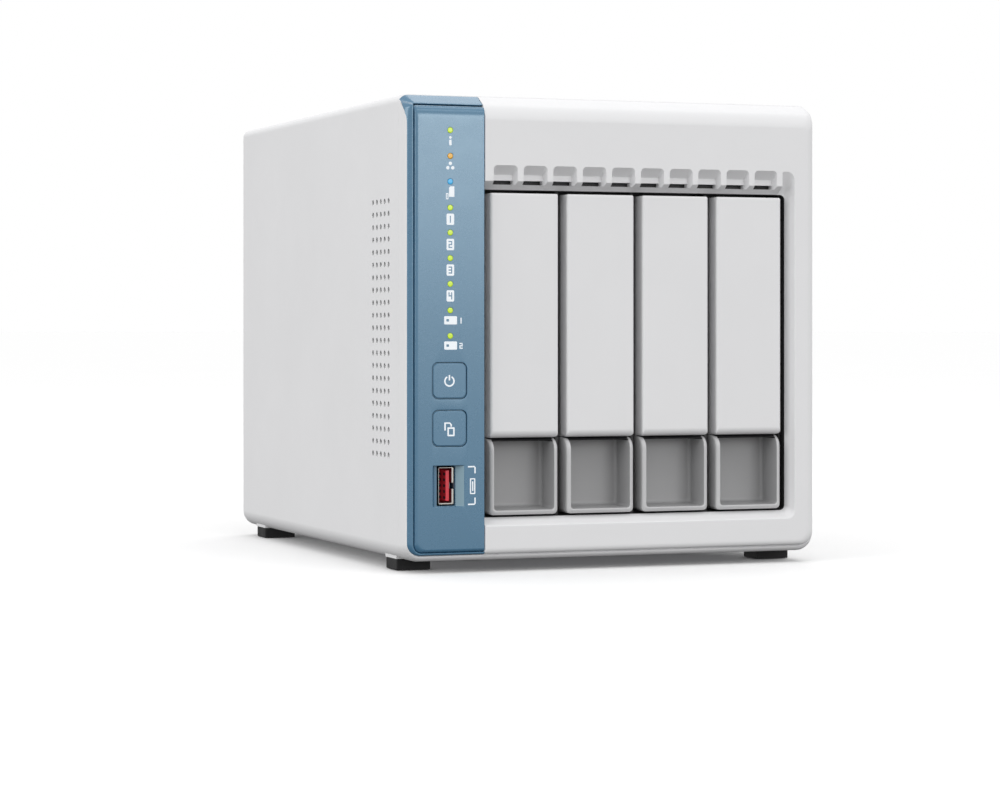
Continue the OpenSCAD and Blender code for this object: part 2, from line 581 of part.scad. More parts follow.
case_cover();
base_pan();
base_screws();
rear_panel();
rear_thumb_screws();
rubber_feet();
front_bezel();
control_panel();
power_button();
copy_button();
leds_green();
led_amber();
led_cyan();
front_usb_shell();
front_usb_tongue();
front_io_board();
main_board();
cpu_heatsink();
ram_module();
m2_ssd_1();
m2_ssd_2();
lan_jack_1();
lan_jack_2();
rear_usb_shells();
rear_usb_tongues();
dc_inlet();
reset_button();
drive_cage();
bay_guides();
backplane_board();
sata_sockets();
fan_frame();
fan_rotor();
fan_guard();
fan_screws();
tray_body_1();
tray_front_1();
drive_body_1();
drive_lid_1();
drive_board_1();
tray_screws_1();
tray_body_2();
tray_front_2();
drive_body_2();
drive_lid_2();
drive_board_2();
tray_screws_2();
tray_body_3();
tray_front_3();
drive_body_3();
drive_lid_3();
drive_board_3();
tray_screws_3();
tray_body_4();
tray_front_4();
drive_body_4();
drive_lid_4();
drive_board_4();
tray_screws_4();
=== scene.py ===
import json
import math

import bmesh
import bpy
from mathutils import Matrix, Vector


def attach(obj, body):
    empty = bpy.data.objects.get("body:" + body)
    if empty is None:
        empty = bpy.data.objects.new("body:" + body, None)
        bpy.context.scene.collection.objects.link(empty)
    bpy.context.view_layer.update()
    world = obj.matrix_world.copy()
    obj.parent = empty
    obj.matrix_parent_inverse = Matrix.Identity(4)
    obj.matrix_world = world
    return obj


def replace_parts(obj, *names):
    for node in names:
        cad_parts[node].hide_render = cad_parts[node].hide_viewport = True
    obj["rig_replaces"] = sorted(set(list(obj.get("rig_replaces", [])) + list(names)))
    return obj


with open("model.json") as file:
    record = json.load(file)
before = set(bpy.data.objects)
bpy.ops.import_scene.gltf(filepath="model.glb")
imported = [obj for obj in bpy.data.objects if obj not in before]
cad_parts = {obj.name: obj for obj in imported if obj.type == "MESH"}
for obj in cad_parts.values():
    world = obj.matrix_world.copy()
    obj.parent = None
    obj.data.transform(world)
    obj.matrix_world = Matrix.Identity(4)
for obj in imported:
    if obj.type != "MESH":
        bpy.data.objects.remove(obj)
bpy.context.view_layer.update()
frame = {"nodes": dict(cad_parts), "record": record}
NODES = frame["nodes"]
MM = 0.001
PI = math.pi


# ------------------------------------------------------------------ camera
cam_data = bpy.data.cameras.new("camera")
cam = bpy.data.objects.new("camera", cam_data)
bpy.context.scene.collection.objects.link(cam)
cam.location = (-0.40378, -1.06829, 0.08674)
cam.rotation_euler = (math.radians(90), 0, math.radians(-21.087))
cam_data.sensor_width = 36
cam_data.lens = 103.94
cam_data.shift_x = -0.028
cam_data.shift_y = -0.073
cam_data.clip_start = 0.05
cam_data.clip_end = 50
bpy.context.scene.camera = cam


# ------------------------------------------------------------------ materials
def srgb(c):
    return tuple(((v / 255) / 12.92 if v / 255 <= 0.04045 else ((v / 255 + 0.055) / 1.055) ** 2.4) for v in c)


class Nodes:
    def __init__(self, name):
        self.m = bpy.data.materials.new(name)
        self.m.use_nodes = True
        self.t = self.m.node_tree
        self.t.nodes.clear()
        self.out = self.add("ShaderNodeOutputMaterial")
        self.p = self.add("ShaderNodeBsdfPrincipled")
        self.t.links.new(self.p.outputs[0], self.out.inputs[0])
        self.tc = self.add("ShaderNodeTexCoord")

    def add(self, kind, **kw):
        n = self.t.nodes.new(kind)
        for k, v in kw.items():
            setattr(n, k, v)
        return n

    def link(self, a, b):
        self.t.links.new(a, b)

    def noise(self, scale, detail=3, rough=0.55, stretch=None, seed=0.0):
        n = self.add("ShaderNodeTexNoise")
        n.inputs["Scale"].default_value = scale
        n.inputs["Detail"].default_value = detail
        n.inputs["Roughness"].default_value = rough
        mp = self.add("ShaderNodeMapping")
        mp.inputs["Location"].default_value = (seed, seed * 0.7, seed * 1.3)
        if stretch:
            mp.inputs["Scale"].default_value = stretch
        self.link(self.tc.outputs["Object"], mp.inputs["Vector"])
        self.link(mp.outputs[0], n.inputs["Vector"])
        return n.outputs["Fac"]

    def remap(self, v, a, b, c, d):
        n = self.add("ShaderNodeMapRange")
        for i, x in enumerate((a, b, c, d)):
            n.inputs[1 + i].default_value = x
        self.link(v, n.inputs[0])
        return n.outputs[0]

    def math(self, op, a, b):
        n = self.add("ShaderNodeMath", operation=op)
        for i, x in enumerate((a, b)):
            if isinstance(x, (int, float)):
                n.inputs[i].default_value = x
            else:
                self.link(x, n.inputs[i])
        return n.outputs[0]

    def mix(self, fac, a, b, blend="MIX"):
        n = self.add("ShaderNodeMix", data_type="RGBA", blend_type=blend)
        if isinstance(fac, (int, float)):
            n.inputs[0].default_value = fac
        else:
            self.link(fac, n.inputs[0])
        for i, x in ((6, a), (7, b)):
            if isinstance(x, tuple):
                n.inputs[i].default_value = (*x[:3], 1)
            else:
                self.link(x, n.inputs[i])
        return n.outputs[2]

    def bump(self, height, strength, distance, after=None):
        n = self.add("ShaderNodeBump")
        n.inputs["Strength"].default_value = strength
        n.inputs["Distance"].default_value = distance
        self.link(height, n.inputs["Height"])
        if after is not None:
            self.link(after, n.inputs["Normal"])
        return n.outputs[0]

    def edge(self, lo=0.52, hi=0.6):
        g = self.add("ShaderNodeNewGeometry")
        return self.remap(g.outputs["Pointiness"], lo, hi, 0.0, 1.0)


def scaled(c, k):
    return tuple(min(1.0, v * k) for v in c)


def plastic(name, rgb, rough=0.45, grain=0.35, bump=0.12, vary=0.03, spec=0.5, coat=0.0, coat_rough=0.2, wear=0.0, seed=0.0, emit=None, glow=0.0, rvar=0.06, tint=None):
    """moulded plastic: fine grain, slow colour drift, uneven gloss"""
    n = Nodes(name)
    slow = n.noise(22, 2, 0.5, seed=seed)
    fine = n.noise(1000 / grain, 2, 0.6, seed=seed + 3)
    cloud = n.noise(95, 4, 0.6, seed=seed + 7)
    col = n.mix(n.remap(slow, 0.3, 0.7, 0, 1), scaled(rgb, 1 - vary), scaled(rgb, 1 + vary))
    col = n.mix(n.remap(cloud, 0.35, 0.75, 0, 0.35), col, scaled(rgb, 1 - vary * 1.6))
    if wear:
        col = n.mix(n.math("MULTIPLY", n.edge(), n.remap(cloud, 0.4, 0.7, 0, wear)), col, scaled(rgb, 1.6) if max(rgb) < 0.4 else scaled(rgb, 1.1))
    n.link(col, n.p.inputs["Base Color"])
    n.link(n.remap(n.math("ADD", n.math("MULTIPLY", cloud, 0.6), n.math("MULTIPLY", fine, 0.4)), 0.3, 0.7, rough - rvar, rough + rvar), n.p.inputs["Roughness"])
    b = n.bump(fine, bump, 0.00004)
    b = n.bump(cloud, 0.03, 0.0002, b)
    n.link(b, n.p.inputs["Normal"])
    n.p.inputs["Specular IOR Level"].default_value = spec
    if tint:
        n.p.inputs["Specular Tint"].default_value = (*tint, 1)
    n.p.inputs["Coat Weight"].default_value = coat
    n.p.inputs["Coat Roughness"].default_value = coat_rough
    if emit:
        n.p.inputs["Emission Color"].default_value = (*emit, 1)
        n.p.inputs["Emission Strength"].default_value = glow
    return n.m


def metal(name, rgb, rough=0.3, stretch=(1, 1, 1), brush=0.25, vary=0.06, spots=0.0, seed=0.0, aniso=0.0, wear=0.0):
    """plated, brushed or cast metal"""
    n = Nodes(name)
    slow = n.noise(40, 3, 0.6, seed=seed)
    lines = n.noise(900, 3, 0.7, stretch=stretch, seed=seed + 2)
    pits = n.noise(600, 4, 0.7, seed=seed + 5)
    col = n.mix(n.remap(slow, 0.3, 0.7, 0, 1), scaled(rgb, 1 - vary), scaled(rgb, 1 + vary))
    col = n.mix(n.remap(lines, 0.3, 0.7, 0, 0.4), col, scaled(rgb, 1 - vary * 2))
    if spots:
        v = n.add("ShaderNodeTexVoronoi")
        v.inputs["Scale"].default_value = 160
        n.link(n.tc.outputs["Object"], v.inputs["Vector"])
        col = n.mix(n.remap(v.outputs["Color"], 0.1, 0.9, 0, spots), col, scaled(rgb, 1.25))
    if wear:
        col = n.mix(n.math("MULTIPLY", n.edge(), wear), col, scaled(rgb, 1.5))
    n.link(col, n.p.inputs["Base Color"])
    n.link(n.remap(n.math("ADD", n.math("MULTIPLY", lines, 0.7), n.math("MULTIPLY", slow, 0.3)), 0.3, 0.7, rough - 0.08, rough + 0.1), n.p.inputs["Roughness"])
    n.link(n.bump(pits, brush * 0.3, 0.00005, n.bump(lines, brush, 0.00005)), n.p.inputs["Normal"])
    n.p.inputs["Metallic"].default_value = 1.0
    n.p.inputs["Anisotropic"].default_value = aniso
    return n.m


def board(name, rgb, seed=0.0):
    """circuit board: solder mask over copper tracks"""
    n = Nodes(name)
    sep = n.add("ShaderNodeSeparateXYZ")
    n.link(n.tc.outputs["Object"], sep.inputs[0])

    def cells(size):
        sn = n.add("ShaderNodeVectorMath")
        sn.operation = "SNAP"
        sn.inputs[1].default_value = (size, size, size)
        n.link(n.tc.outputs["Object"], sn.inputs[0])
        w = n.add("ShaderNodeTexWhiteNoise")
        w.noise_dimensions = "4D"
        w.inputs["W"].default_value = seed + size * 1000
        n.link(sn.outputs[0], w.inputs["Vector"])
        return w.outputs["Value"]

    def waves(axis, freq):
        return n.math("SINE", n.math("MULTIPLY", sep.outputs[axis], freq), 0.0)

    region = cells(0.0075)
    a = n.math("MULTIPLY", n.math("GREATER_THAN", waves("Z", 5027), 0.55), n.math("GREATER_THAN", region, 0.6))
    b = n.math("MULTIPLY", n.math("GREATER_THAN", waves("Y", 5027), 0.55), n.math("LESS_THAN", region, 0.32))
    dots = n.math("MULTIPLY", n.math("GREATER_THAN", n.math("MULTIPLY", waves("Y", 2513), waves("Z", 2513)), 0.82), n.math("GREATER_THAN", cells(0.015), 0.45))
    t = n.math("MINIMUM", n.math("ADD", n.math("ADD", a, b), dots), 1.0)
    col = n.mix(t, scaled(rgb, 0.9), scaled(rgb, 1.45))
    fine = n.noise(2500, 2, 0.6)
    col = n.mix(n.remap(fine, 0.4, 0.8, 0, 0.25), col, scaled(rgb, 0.6))
    n.link(col, n.p.inputs["Base Color"])
    n.link(n.remap(fine, 0.3, 0.7, 0.28, 0.42), n.p.inputs["Roughness"])
    n.link(n.bump(t, 0.35, 0.00006), n.p.inputs["Normal"])
    return n.m


def rubber(name, rgb):
    n = Nodes(name)
    fine = n.noise(1600, 3, 0.7)
    dust = n.noise(130, 4, 0.65, seed=4)
    col = n.mix(n.remap(dust, 0.45, 0.8, 0, 0.5), rgb, scaled(rgb, 1.9))
    col = n.mix(n.math("MULTIPLY", n.edge(0.53, 0.62), 0.35), col, scaled(rgb, 2.6))
    n.link(col, n.p.inputs["Base Color"])
    n.link(n.remap(dust, 0.3, 0.7, 0.62, 0.82), n.p.inputs["Roughness"])
    n.link(n.bump(fine, 0.35, 0.00008), n.p.inputs["Normal"])
    n.p.inputs["Specular IOR Level"].default_value = 0.35
    return n.m


WHITE = (0.79, 0.79, 0.8)
BLUE = (0.056, 0.158, 0.265)
MAT = {
    "shell_white": plastic("shell_white", WHITE, 0.6, 0.45, 0.16, 0.012, spec=0.35, seed=1),
    "bezel_white": plastic("bezel_white", WHITE, 0.5, 0.3, 0.05, 0.01, spec=0.4, seed=2),
    "tray_white": plastic("tray_white", WHITE, 0.5, 0.3, 0.05, 0.01, spec=0.4, seed=5),
    "base_grey": plastic("base_grey", srgb((196, 196, 199)), 0.55, 0.5, 0.2, 0.02, seed=3),
    "strip_blue": plastic("strip_blue", BLUE, 0.27, 0.25, 0.03, 0.02, spec=1.0, tint=(0.72, 0.9, 1.0), coat=0.4, coat_rough=0.2, seed=6, rvar=0.03),
    "button_blue": plastic("button_blue", scaled(BLUE, 1.04), 0.27, 0.25, 0.03, 0.02, spec=1.0, tint=(0.72, 0.9, 1.0), coat=0.4, coat_rough=0.2, seed=8, rvar=0.03),
    "label_pale": plastic("label_pale", srgb((222, 224, 222)), 0.5, 0.3, 0.03, 0.04, seed=33),
    # a lighter copy of the panel blue for the slanted wall beside the front socket: painted light
    "ramp_blue": plastic("ramp_blue", (0.24, 0.37, 0.44), 0.4, 0.25, 0.05, 0.02, seed=30),
    # the white marks glow faintly: painted light, the printed marks are no lamp
    "mark_white": plastic("mark_white", srgb((238, 242, 246)), 0.5, 0.2, 0.05, 0.01, seed=9, emit=(0.85, 0.95, 1), glow=0.14),
    "tray_grey": plastic("tray_grey", (0.56, 0.56, 0.565), 0.34, 0.4, 0.12, 0.03, spec=0.6, seed=10),
    # a darker copy of tray_grey for the inside of the finger pocket: painted shade
    "tray_pocket": plastic("tray_pocket", (0.37, 0.37, 0.375), 0.42, 0.4, 0.14, 0.03, spec=0.5, seed=31),
    "black_plastic": plastic("black_plastic", srgb((34, 34, 37)), 0.45, 0.4, 0.25, 0.12, wear=0.25, seed=11),
    "fan_black": plastic("fan_black", srgb((32, 32, 34)), 0.42, 0.5, 0.3, 0.12, wear=0.3, seed=12),
    "rotor_black": plastic("rotor_black", srgb((42, 42, 45)), 0.38, 0.5, 0.2, 0.1, wear=0.2, seed=13),
    # the faint red glow brightens the tongue in the shell's shade: painted light, the tongue is no lamp
    "tongue_red": plastic("tongue_red", srgb((214, 52, 66)), 0.35, 0.3, 0.08, 0.05, seed=14, emit=srgb((190, 30, 44)), glow=0.07),
    "tongue_blue": plastic("tongue_blue", srgb((30, 78, 190)), 0.35, 0.3, 0.08, 0.05, seed=15),
    "led_green": plastic("led_green", srgb((188, 216, 40)), 0.25, 0.2, 0.02, 0.04, coat=0.3, seed=16, emit=srgb((200, 235, 20)), glow=0.2),
    "led_amber": plastic("led_amber", srgb((214, 158, 14)), 0.25, 0.2, 0.02, 0.04, coat=0.3, seed=17, emit=srgb((235, 170, 5)), glow=0.16),
    "led_cyan": plastic("led_cyan", srgb((30, 160, 214)), 0.25, 0.2, 0.02, 0.04, coat=0.3, seed=18, emit=srgb((20, 175, 235)), glow=0.18),
    "panel_grey": plastic("panel_grey", srgb((212, 212, 214)), 0.5, 0.7, 0.45, 0.02, seed=19),
    "screw_black": metal("screw_black", srgb((60, 60, 63)), 0.38, (1, 1, 1), 0.2, 0.1, wear=0.6, seed=20),
    "socket_steel": metal("socket_steel", srgb((180, 178, 173)), 0.36, (14, 1, 14), 0.15, 0.06, seed=21),
    "zinc_steel": metal("zinc_steel", srgb((196, 197, 202)), 0.3, (1, 1, 1), 0.2, 0.07, seed=22, wear=0.4),
    # near-black, taken as black-painted steel and kept this dark also so the gaps between the trays read black: partly
    # painted shade
    "cage_steel": plastic("cage_steel", (0.035, 0.035, 0.037), 0.5, 0.6, 0.25, 0.15, seed=23, wear=0.4),
    # near-black: painted shade on the bay mouth walls, behind the scoop slots and inside the side holes; also the
    # colour of the socket contacts
    "shade_and_contact_black": plastic("shade_and_contact_black", (0.02, 0.02, 0.022), 0.6, 0.5, 0.2, 0.15, seed=29),
    "heatsink_alu": metal("heatsink_alu", srgb((205, 207, 210)), 0.34, (1, 14, 14), 0.25, 0.05, seed=24),
    "drive_alu": metal("drive_alu", srgb((158, 160, 163)), 0.5, (1, 1, 1), 0.5, 0.05, seed=25, wear=0.3),
    "lid_steel": metal("lid_steel", srgb((200, 202, 205)), 0.3, (1, 1, 26), 0.25, 0.05, seed=26, aniso=0.4),
    "guard_wire": metal("guard_wire", srgb((208, 209, 212)), 0.22, (1, 1, 1), 0.08, 0.05, seed=27),
    "gold": metal("gold", srgb((230, 190, 110)), 0.28, (1, 1, 1), 0.1, 0.06, seed=28),
    "board_green": board("board_green", srgb((26, 92, 62)), 1),
    "board_blue": board("board_blue", srgb((24, 42, 104)), 2),
    "foot_rubber": rubber("foot_rubber", srgb((30, 30, 31))),
}
slot_of = {s["node"]: s["material_slot"] for s in frame["record"]["subparts"]}


# ------------------------------------------------------------------ mesh building (millimetres)
class Mesh:
    def __init__(self):
        self.bm = bmesh.new()

    def ring(self, pts):
        return [self.bm.verts.new((p[0] * MM, p[1] * MM, p[2] * MM)) for p in pts]

    def face(self, verts, mat=0):
        try:
            f = self.bm.faces.new(verts)
            f.material_index = mat
            return f
        except ValueError:
            return None

    def bridge(self, a, b, mat=0, skip=()):
        n = len(a)
        for i in range(n):
            if i not in skip:
                j = (i + 1) % n
                self.face((a[i], a[j], b[j], b[i]), mat)

    def loft(self, rings, ends=(True, True), closed=False, mat=0):
        vs = [self.ring(r) for r in rings]
        for a, b in zip(vs, vs[1:]):
            self.bridge(a, b, mat)
        if closed:
            self.bridge(vs[-1], vs[0], mat)
        else:
            if ends[0]:
                self.face(vs[0][::-1], mat)
            if ends[1]:
                self.face(vs[-1], mat)
        return vs

    def fill(self, loops):
        edges = []
        for lp in loops:
            for i, v in enumerate(lp):
                w = lp[(i + 1) % len(lp)]
                e = self.bm.edges.get((v, w)) or self.bm.edges.new((v, w))
                edges.append(e)
        return bmesh.ops.triangle_fill(self.bm, use_beauty=True, use_dissolve=False, edges=edges)


def unit(ax, az):
    l = math.hypot(ax, az) or 1.0
    return ax / l, az / l


def pring(sides, radii, n=6):
    """closed outline of upright and level sides; sides are (axis, coordinate, Y), and the corner after side i has radii[i]"""
    m = len(sides)
    cs = []
    for i in range(m):
        a, b = sides[i], sides[(i + 1) % m]
        cs.append((a[1], b[1]) if a[0] == "x" else (b[1], a[1]))
    pts = []
    for i in range(m):
        a, b = sides[i], sides[(i + 1) % m]
        c, p, q = cs[i], cs[i - 1], cs[(i + 1) % m]
        di = unit(c[0] - p[0], c[1] - p[1])
        do = unit(q[0] - c[0], q[1] - c[1])
        r = max(radii[i], 0.02)
        for k in range(n + 1):
            t = k / n * PI / 2
            x = c[0] + r * (do[0] - di[0]) + r * (-do[0] * math.cos(t) + di[0] * math.sin(t))
            z = c[1] + r * (do[1] - di[1]) + r * (-do[1] * math.cos(t) + di[1] * math.sin(t))
            w = k / n
            pts.append((x, a[2] * (1 - w) + b[2] * w, z))
    return pts


def rrect(x0, z0, x1, z1, y, r, n=6):
    if isinstance(r, (int, float)):
        r = (r,) * 4
    # sides run bottom, right, top, left; corners br, tr, tl, bl
    return pring([("z", z0, y), ("x", x1, y), ("z", z1, y), ("x", x0, y)], [r[1], r[2], r[3], r[0]], n)


def slab_rings(x0, z0, x1, z1, y0, y1, r=1.0, f=0.4, g=0.3, n=6, s=4):
    """rounded plate; f is the front fillet (one, or bottom, right, top, left), g the back fillet; r the corners bl, br, tr, tl"""
    f = (f,) * 4 if isinstance(f, (int, float)) else f
    r = (r,) * 4 if isinstance(r, (int, float)) else r
    out = []
    fm = sum(f) / 4
    for k in range(s + 1):
        t = k / s * PI / 2
        i = [v * (1 - math.sin(t)) for v in f]
        y = [y0 + v * (1 - math.cos(t)) for v in f]
        q = fm * (1 - math.sin(t))
        out.append(pring([("z", z0 + i[0], y[0]), ("x", x1 - i[1], y[1]), ("z", z1 - i[2], y[2]), ("x", x0 + i[3], y[3])],
                         [max(v - q * 0.8, 0.25 * v) for v in (r[1], r[2], r[3], r[0])], n))
    for k in range(s + 1):
        t = k / s * PI / 2
        i = g * (1 - math.cos(t))
        y = y1 - g + g * math.sin(t)
        out.append(pring([("z", z0 + i, y), ("x", x1 - i, y), ("z", z1 - i, y), ("x", x0 + i, y)],
                         [max(v - i * 0.8, 0.25 * v) for v in (r[1], r[2], r[3], r[0])], n))
    return out


def slab(m, *a, **k):
    return m.loft(slab_rings(*a, **k))


def circle(x, y, z, r, n=24, axis="y", a0=0.0):
    out = []
    for k in range(n):
        t = a0 + 2 * PI * k / n
        c, s = r * math.cos(t), r * math.sin(t)
        out.append({"y": (x + c, y, z + s), "x": (x, y + c, z + s), "z": (x + c, y + s, z)}[axis])
    return out


def lathe(m, x, z, profile, n=32, ends=(True, True)):
    """profile is (Y, radius) pairs, turned about the line along Y through x, z"""
    return m.loft([circle(x, y, z, max(r, 0.01), n) for y, r in profile], ends)


def box(m, a, b, f=0.25):
    """box with small fillets all round"""
    f = min(f, (b[0] - a[0]) / 2.2, (b[1] - a[1]) / 2.2, (b[2] - a[2]) / 2.2)
    return slab(m, a[0], a[2], b[0], b[2], a[1], b[1], r=f, f=f, g=f, n=2, s=2)


PIECES = {}


def finish_mesh(m, name, mats, body, replaces=(), angle=32, weighted=True):
    bm = m.bm
    bmesh.ops.remove_doubles(bm, verts=bm.verts, dist=1e-7)
    bmesh.ops.dissolve_degenerate(bm, dist=1e-7, edges=bm.edges)
    bmesh.ops.recalc_face_normals(bm, faces=bm.faces)
    for f in bm.faces:
        f.smooth = True
    lim = math.radians(angle)
    for e in bm.edges:
        if len(e.link_faces) == 2:
            e.smooth = e.calc_face_angle(0.0) < lim
    me = bpy.data.meshes.new(name)
    bm.to_mesh(me)
    bm.free()
    o = bpy.data.objects.new(name, me)
    bpy.context.scene.collection.objects.link(o)
    for mt in mats:
        me.materials.append(MAT[mt])
    if weighted:
        w = o.modifiers.new("even_normals", "WEIGHTED_NORMAL")
        w.keep_sharp = True
        w.weight = 60
    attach(o, body)
    if replaces:
        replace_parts(o, *replaces)
    PIECES[name] = o
    return o


def carve(o, cutter_mesh, name):
    """takes a closed mesh out of a piece, for good"""
    bm = cutter_mesh.bm
    bmesh.ops.recalc_face_normals(bm, faces=bm.faces)
    me = bpy.data.meshes.new(name)
    bm.to_mesh(me)
    bm.free()
    c = bpy.data.objects.new(name, me)
    bpy.context.scene.collection.objects.link(c)
    md = o.modifiers.new("cut", "BOOLEAN")
    md.operation = "DIFFERENCE"
    md.solver = "EXACT"
    md.object = c
    while o.modifiers[0] != md:
        o.modifiers.move(o.modifiers.find(md.name), 0)
    bpy.context.view_layer.update()
    keep = [x for x in o.modifiers if x != md]
    for x in keep:
        x.show_viewport = False
    dg = bpy.context.evaluated_depsgraph_get()
    new = bpy.data.meshes.new_from_object(o.evaluated_get(dg), depsgraph=dg)
    o.modifiers.remove(md)
    old = o.data
    o.data = new
    bpy.data.meshes.remove(old)
    for x in keep:
        x.show_viewport = True
    bpy.data.objects.remove(c)
    return o


def resharpen(o, angle=32, soften=None, width=0.25, segments=2):
    """marks sharp edges again after a cut; soften picks edges that get a small round"""
    bm = bmesh.new()
    bm.from_mesh(o.data)
    bmesh.ops.remove_doubles(bm, verts=bm.verts, dist=1e-6)
    bmesh.ops.dissolve_degenerate(bm, dist=1e-6, edges=bm.edges)
    bmesh.ops.recalc_face_normals(bm, faces=bm.faces)
    if soften:
        es = [e for e in bm.edges if len(e.link_faces) == 2 and e.calc_face_angle(0.0) > math.radians(24) and soften(e)]
        bmesh.ops.bevel(bm, geom=es, offset=width * MM, offset_type="OFFSET", segments=segments, profile=0.5, affect="EDGES", clamp_overlap=True)
    for f in bm.faces:
        f.smooth = True
    for e in bm.edges:
        if len(e.link_faces) == 2:
            e.smooth = e.calc_face_angle(0.0) < math.radians(angle)
    bm.to_mesh(o.data)
    bm.free()


# ------------------------------------------------------------------ front bezel
HW, TOP, FRONT, SEAM, REAR = 80.0, 169.0, -109.5, -102.05, 103.5
EDGE = -50.35
N = 16
TOP_P = [(-102.05, 168.72), (-102.6, 168.45), (-103.6, 167.85), (-105.0, 166.98), (-106.2, 166.22), (-107.2, 165.52), (-107.6, 165.15), (-107.95, 164.72),
         (-108.25, 164.25), (-108.5, 163.75), (-108.75, 163.2), (-109.0, 162.5), (-109.2, 161.85), (-109.35, 161.2), (-109.46, 160.6), (-109.5, 160.0)]
SIDE_P = [(-102.05, 0.0), (-103.4, 0.0), (-104.7, 0.0), (-106.0, 0.0)] + [(-106 - 3.5 * math.sin(k / 11 * PI / 2 * 1.0), 3.5 * (1 - math.cos(k / 11 * PI / 2))) for k in range(12)]
BOT_P = [(-102.05, 4.0), (-105.0, 4.03), (-106.2, 4.2), (-107.1, 4.6), (-107.75, 5.15), (-108.0, 5.6), (-108.08, 5.88), (-107.3, 5.95), (-107.3, 6.28),
         (-108.25, 6.34), (-108.65, 6.5), (-108.98, 6.76), (-109.22, 7.12), (-109.39, 7.55), (-109.47, 8.0), (-109.5, 8.5)]


def lerp_list(pts, n):
    """n points spread along a polyline"""
    d = [0.0]
    for a, b in zip(pts, pts[1:]):
        d.append(d[-1] + math.dist(a, b))
    out = []
    for k in range(n):
        s = d[-1] * k / (n - 1)
        j = max(i for i in range(len(d)) if d[i] <= s + 1e-9)
        if j >= len(pts) - 1:
            out.append(pts[-1])
        else:
            w = (s - d[j]) / ((d[j + 1] - d[j]) or 1)
            out.append(tuple(pts[j][q] * (1 - w) + pts[j + 1][q] * w for q in range(len(pts[0]))))
    return out


BAYTOP_P = [(-102.05, 135.45), (-103.4, 135.45), (-104.2, 135.46), (-104.45, 135.5), (-104.7, 135.62)] + \
    [(-104.7 - 4.65 * k / 8, 135.62 + 2.79 * k / 8) for k in range(1, 9)] + [(-109.44, 138.5), (-109.49, 138.62), (-109.5, 138.8)]
BAYR_P = [(-102.05, 69.4), (-103.4, 69.4), (-104.2, 69.4), (-104.45, 69.42), (-104.7, 69.5)] + \
    [(-104.7 - 4.6 * k / 8, 69.5 + 1.95 * k / 8) for k in range(1, 9)] + [(-109.42, 71.55), (-109.48, 71.7), (-109.5, 71.95)]
BAYB_P = [(-102.05, 19.15), (-103.4, 19.15), (-104.2, 19.14), (-104.45, 19.1), (-104.7, 19.0)] + \
    [(-104.7 - 4.6 * k / 8, 19.0 - 2.6 * k / 8) for k in range(1, 9)] + [(-109.42, 16.26), (-109.48, 16.1), (-109.5, 15.9)]
END_P = [(-102.05 - 6.7 * k / 11, EDGE) for k in range(12)] + [(-109.05, EDGE + 0.08), (-109.3, EDGE + 0.25), (-109.45, EDGE + 0.5), (-109.5, EDGE + 0.85)]

m = Mesh()
rings = []
for k in range(N):
    f = k / (N - 1)
    sd = SIDE_P[k]
    rings.append(pring([
        ("z", BOT_P[k][1], BOT_P[k][0]), ("x", HW - sd[1], sd[0]), ("z", TOP_P[k][1], TOP_P[k][0]), ("x", END_P[k][1], END_P[k][0]),
        ("z", BAYTOP_P[k][1], BAYTOP_P[k][0]), ("x", BAYR_P[k][1], BAYR_P[k][0]), ("z", BAYB_P[k][1], BAYB_P[k][0]), ("x", END_P[k][1], END_P[k][0])],
        [6.0 - 1.6 * f, 3.0 - 0.6 * f, 0.03, 0.03, 1.2 + 2.2 * f, 1.4 + 1.8 * f, 0.03, 0.03], 8))
m.loft(rings)
# faces deep inside the bay mouth take the near-black material: painted shade, so the gaps round the trays read black
for f in m.bm.faces:
    c_ = f.calc_center_median() / MM
    if c_.y > -104.75 and -50 < c_.x < 69.6 and 18 < c_.z < 135.8 and not f.normal.y:
        f.material_index = 1
bezel = finish_mesh(m, "bezel_face", ["bezel_white", "shade_and_contact_black"], "case", ["front_bezel"])

cut = Mesh()
for i in range(10):
    a = -47.05 + i * 11.35
    b = a + 9.15
    cut.loft([rrect(a, 137.35, b, 144.5, -110.0, (0.1, 0.1, 1.5, 1.5)), rrect(a, 137.35, b, 144.1, -109.4, (0.1, 0.1, 1.5, 1.5)),
              rrect(a + 0.4, 137.35, b - 0.5, 141.35, -106.4, (0.1, 0.1, 0.9, 0.9)), rrect(a + 0.5, 137.35, b - 0.6, 140.9, -106.1, (0.1, 0.1, 0.5, 0.5)),
              rrect(a + 0.5, 137.35, b - 0.6, 138.9, -106.05, 0.1), rrect(a + 0.5, 137.35, b - 0.6, 138.9, -100.5, 0.1)])
# the side bevel of the bay runs on past the last scoop
a = -47.05 + 10 * 11.35
cut.loft([rrect(a, 134.2, 71.68, 144.45, -110.0, (0.1, 0.1, 3.2, 0.8)), rrect(a, 134.2, 71.42, 143.9, -109.4, (0.1, 0.1, 3.1, 0.8)),
          rrect(a + 0.1, 134.2, 69.46, 135.75, -104.72, (0.1, 0.1, 0.8, 0.3))])
carve(bezel, cut, "scoop_cutter")
resharpen(bezel, 32, lambda e: all(v.co.z > 0.1372 and v.co.y < -0.1058 and v.co.z < 0.1452 and v.co.x < 0.0712 for v in e.verts), 0.28, 2)

# dark strips behind the scoops' slots: painted shade, standing for the dark inside seen through them
m = Mesh()
for i in range(10):
    a = -47.05 + i * 11.35
    box(m, (a + 0.52, -103.4, 137.37), (a + 8.53, -102.5, 138.88), 0.05)
finish_mesh(m, "scoop_slots", ["shade_and_contact_black"], "case", ())

